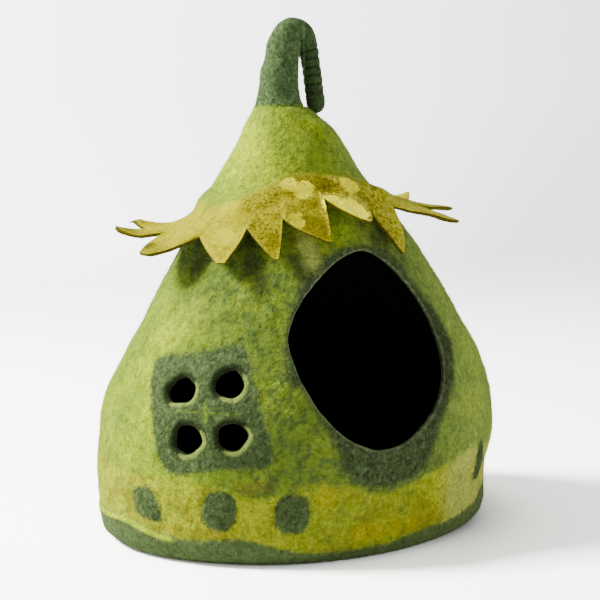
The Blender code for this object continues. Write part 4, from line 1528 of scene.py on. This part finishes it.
def fibre_tree():
    """Scatters short straight wool fibres over the outer side of a mesh."""
    nodes = Nodes(bpy.data.node_groups.new("wool_fibres", "GeometryNodeTree"))
    sockets = nodes.tree.interface
    sockets.new_socket(name="Fibres", in_out="OUTPUT", socket_type="NodeSocketGeometry")
    for name, kind, default in FIBRE_INPUTS:
        made = sockets.new_socket(name=name, in_out="INPUT", socket_type=f"NodeSocket{kind}")
        if default is not None:
            made.default_value = default
    given = nodes.add("NodeGroupInput").outputs
    inner = nodes.add("GeometryNodeInputNamedAttribute", {"Name": "inner_side"}, data_type="FLOAT")
    height = nodes.split(nodes.add("GeometryNodeInputPosition").outputs[0])[2]
    outside = nodes.maths("LESS_THAN", inner.outputs[0], 0.05)
    raised = nodes.maths("GREATER_THAN", height, given["Lowest"])
    scatter = nodes.add(
        "GeometryNodeDistributePointsOnFaces",
        {
            "Mesh": given["Felt"],
            "Selection": nodes.times(outside, raised),
            "Density": given["Per square metre"],
            "Seed": given["Seed"],
        },
    ).outputs
    fibre = nodes.add(
        "GeometryNodeMeshCone",
        {
            "Vertices": 3,
            "Side Segments": 1,
            "Radius Top": 0.0,
            "Radius Bottom": given["Thickness"],
            "Depth": given["Length"],
        },
        fill_type="NGON",
    )
    upright = nodes.add("FunctionNodeAlignRotationToVector", {"Vector": scatter["Normal"]})
    lean = nodes.add(
        "FunctionNodeRandomValue",
        {0: (-FIBRE_LEAN, -FIBRE_LEAN, 0.0), 1: (FIBRE_LEAN, FIBRE_LEAN, FIBRE_TURN)},
        data_type="FLOAT_VECTOR",
    )
    turned = nodes.add(
        "FunctionNodeRotateRotation",
        {"Rotation": upright.outputs[0], "Rotate By": lean.outputs[0]},
        rotation_space="LOCAL",
    )
    sizes = dict(zip((2, 3), FIBRE_SIZES))
    size = nodes.add("FunctionNodeRandomValue", sizes, data_type="FLOAT")
    spread = nodes.add(
        "GeometryNodeInstanceOnPoints",
        {
            "Points": scatter["Points"],
            "Instance": fibre.outputs["Mesh"],
            "Rotation": turned.outputs[0],
            "Scale": size.outputs[1],
        },
    )
    real = nodes.add("GeometryNodeRealizeInstances", {"Geometry": spread.outputs[0]})
    inputs = {"Geometry": real.outputs[0], "Material": given["Wool"]}
    finished = nodes.add("GeometryNodeSetMaterial", inputs)
    nodes.add("NodeGroupOutput", {"Fibres": finished.outputs[0]})
    return nodes.tree


def stray_fibres(name, felt, tree, **sizes):
    """A plain mesh of fibres over a piece of felt, in that piece's wool."""
    holder = linked_object(name + "_maker", felt.data)
    modifier = holder.modifiers.new("fibres", "NODES")
    modifier.node_group = tree
    items = [item for item in tree.interface.items_tree if item.in_out == "INPUT"]
    inputs = {item.name: item.identifier for item in items}
    for label, value in sizes.items():
        modifier[inputs[label.replace("_", " ").capitalize()]] = value
    modifier[inputs["Wool"]] = felt.data.materials[0]
    bpy.context.view_layer.update()
    graph = bpy.context.evaluated_depsgraph_get()
    mesh = bpy.data.meshes.new_from_object(holder.evaluated_get(graph), depsgraph=graph)
    mesh.name = name
    bpy.data.objects.remove(holder, do_unlink=True)
    return linked_object(name, mesh)


# --- studio ------------------------------------------------------------------------------------

CAMERA_PLACE = (-0.6973, -1.4954, 0.43)
CAMERA_PITCH = 7.18
CAMERA_HEADING = -25.0
CAMERA_SENSOR = 36.0
CAMERA_LENS = 100.02
CAMERA_SHIFT = 7 / 600
FLOOR_HALF = 40.0
FLOOR_SEEN = 3.5  # brightness to the camera, and below it the brightness that lights the felt
FLOOR_LIT = 0.75
FLOOR_FADE = (0.9, 3.2)
CONTACT_REACH = 0.07  # how far the floor is dimmed next to the shaded side
CONTACT_DEPTH = 0.85
CONTACT_SIDE = (0.03, 0.15)
WORLD_SEEN = 4.3
WORLD_LIT = 0.50
WORLD_BRIGHT_SIDE = 1.4
WORLD_DIM_SIDE = 0.62
LIGHT_AIM = (0, 0, 0.2)
Lamp = namedtuple("Lamp", "name place size power colour")
LAMPS = (
    Lamp("key", (-2.00, 0.80, 2.05), 0.8, 215.0, (1.0, 0.99, 0.97)),
    Lamp("fill", (2.00, -1.18, 0.34), 1.3, 28.0, (1.0, 1.0, 1.0)),
)


def make_camera():
    data = bpy.data.cameras.new("camera")
    data.sensor_width = CAMERA_SENSOR
    data.lens = CAMERA_LENS
    data.shift_x = CAMERA_SHIFT
    camera = linked_object("camera", data)
    camera.location = CAMERA_PLACE
    camera.rotation_euler = (math.radians(90 - CAMERA_PITCH), 0, math.radians(CAMERA_HEADING))
    bpy.context.scene.camera = camera


def make_lamp(lamp):
    data = bpy.data.lights.new(lamp.name, "AREA")
    data.shape = "DISK"
    data.size = lamp.size
    data.energy = lamp.power
    data.color = lamp.colour
    light = linked_object(lamp.name, data)
    light.location = lamp.place
    way = Vector(LIGHT_AIM) - Vector(lamp.place)
    light.rotation_euler = way.to_track_quat("-Z", "Y").to_euler()


def seen_or_lit(nodes, seen, lit):
    """One brightness for what is looked at straight, and another for the light it gives."""
    straight = nodes.add("ShaderNodeLightPath").outputs["Is Camera Ray"]
    return nodes.blend(straight, (lit,) * 3, (seen,) * 3)


def room_brightness(nodes, direction):
    """The pale room behind: brighter towards the side of the key light."""
    rightwards = tuple(heading(CAMERA_HEADING + 90.0))
    aside = nodes.add("ShaderNodeVectorMath", {0: direction, 1: rightwards}, operation="DOT_PRODUCT")
    aside = aside.outputs["Value"]
    share = nodes.map_range(aside, -0.2, 0.2, WORLD_BRIGHT_SIDE, WORLD_DIM_SIDE)
    brightness = seen_or_lit(nodes, WORLD_SEEN, WORLD_LIT)
    return nodes.blend(1.0, brightness, nodes.grey(share), "MULTIPLY")


def make_floor():
    """A wide pale floor, with painted shade next to the felt on its shaded side, that turns into the
    brightness of the room with distance.
    """
    corners = [(FLOOR_HALF * x, FLOOR_HALF * y, 0) for x, y in ((-1, -1), (1, -1), (1, 1), (-1, 1))]
    paper = bpy.data.materials.new("pale_paper")
    paper.use_nodes = True
    nodes = Nodes(paper.node_tree)
    nodes.tree.nodes.clear()
    place = nodes.add("ShaderNodeTexCoord").outputs["Object"]
    across = nodes.split(place)[0]
    # painted shade: the floor is darkened next to the felt, by how much the felt hides it, on the
    # felt's shaded side
    near_by = nodes.add("ShaderNodeAmbientOcclusion", {"Distance": CONTACT_REACH}, samples=12)
    closed = nodes.maths("SUBTRACT", 1.0, near_by.outputs["AO"])
    closed = nodes.times(closed, nodes.ramp(across, *CONTACT_SIDE))
    paler = nodes.grey(nodes.times_plus(closed, -CONTACT_DEPTH, 1.0))
    colour = nodes.blend(1.0, seen_or_lit(nodes, FLOOR_SEEN, FLOOR_LIT), paler, "MULTIPLY")
    near = nodes.add("ShaderNodeBsdfDiffuse", {"Color": colour})
    away = nodes.add("ShaderNodeVectorMath", {0: place}, operation="LENGTH").outputs["Value"]
    way = nodes.add("ShaderNodeVectorMath", {0: place}, operation="NORMALIZE").outputs[0]
    far = nodes.add("ShaderNodeEmission", {"Color": room_brightness(nodes, way)})
    inputs = {0: nodes.ramp(away, *FLOOR_FADE), 1: near.outputs[0], 2: far.outputs[0]}
    both = nodes.add("ShaderNodeMixShader", inputs)
    nodes.add("ShaderNodeOutputMaterial", {"Surface": both.outputs[0]})
    mesh_object("floor", corners, [(0, 1, 2, 3)], paper)


def make_room_light():
    world = bpy.data.worlds.new("pale_room")
    world.use_nodes = True
    nodes = Nodes(world.node_tree)
    direction = nodes.add("ShaderNodeTexCoord").outputs["Generated"]
    sky = nodes.tree.nodes["Background"]
    sky.inputs["Strength"].default_value = 1.0
    nodes.tree.links.new(room_brightness(nodes, direction), sky.inputs["Color"])
    bpy.context.scene.world = world


# --- put it together ---------------------------------------------------------------------------


def settle(piece, slot, *stands_for):
    """Every piece rides on the one rigid body, and the node that it shows, if any, is hidden."""
    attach(piece, "root")
    if stands_for:
        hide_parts(*stands_for)


make_camera()
make_floor()
make_room_light()
for lamp in LAMPS:
    make_lamp(lamp)
body = felt_body()
collar, collar_area = leaf_collar()
stem = stem_loop()
settle(body, "green_felt", "felt_shell")
settle(collar, "mustard_felt", "leaf_collar")
settle(stem, "sage_felt", "stem_loop")
openings = all_openings()
for number, dot in enumerate(DOTS, start=1):
    disc = felt_dot(number, dot, body.data.materials[0], openings)
    settle(disc, "sage_felt", f"dot_{number:02d}")
fibres = fibre_tree()
wall_fuzz = stray_fibres(
    "wall_fuzz", body, fibres, per_square_metre=128000.0, length=0.0040, thickness=0.00007, seed=3
)
collar_fuzz = stray_fibres(
    "collar_fuzz", collar, fibres, per_square_metre=120000.0, length=0.0026, thickness=0.00006, seed=5
)
stem_fuzz = stray_fibres(
    "stem_fuzz", stem, fibres, per_square_metre=240000.0, length=0.0028, thickness=0.00007, seed=7
)
settle(wall_fuzz, "green_felt")
settle(collar_fuzz, "mustard_felt")
settle(stem_fuzz, "sage_felt")
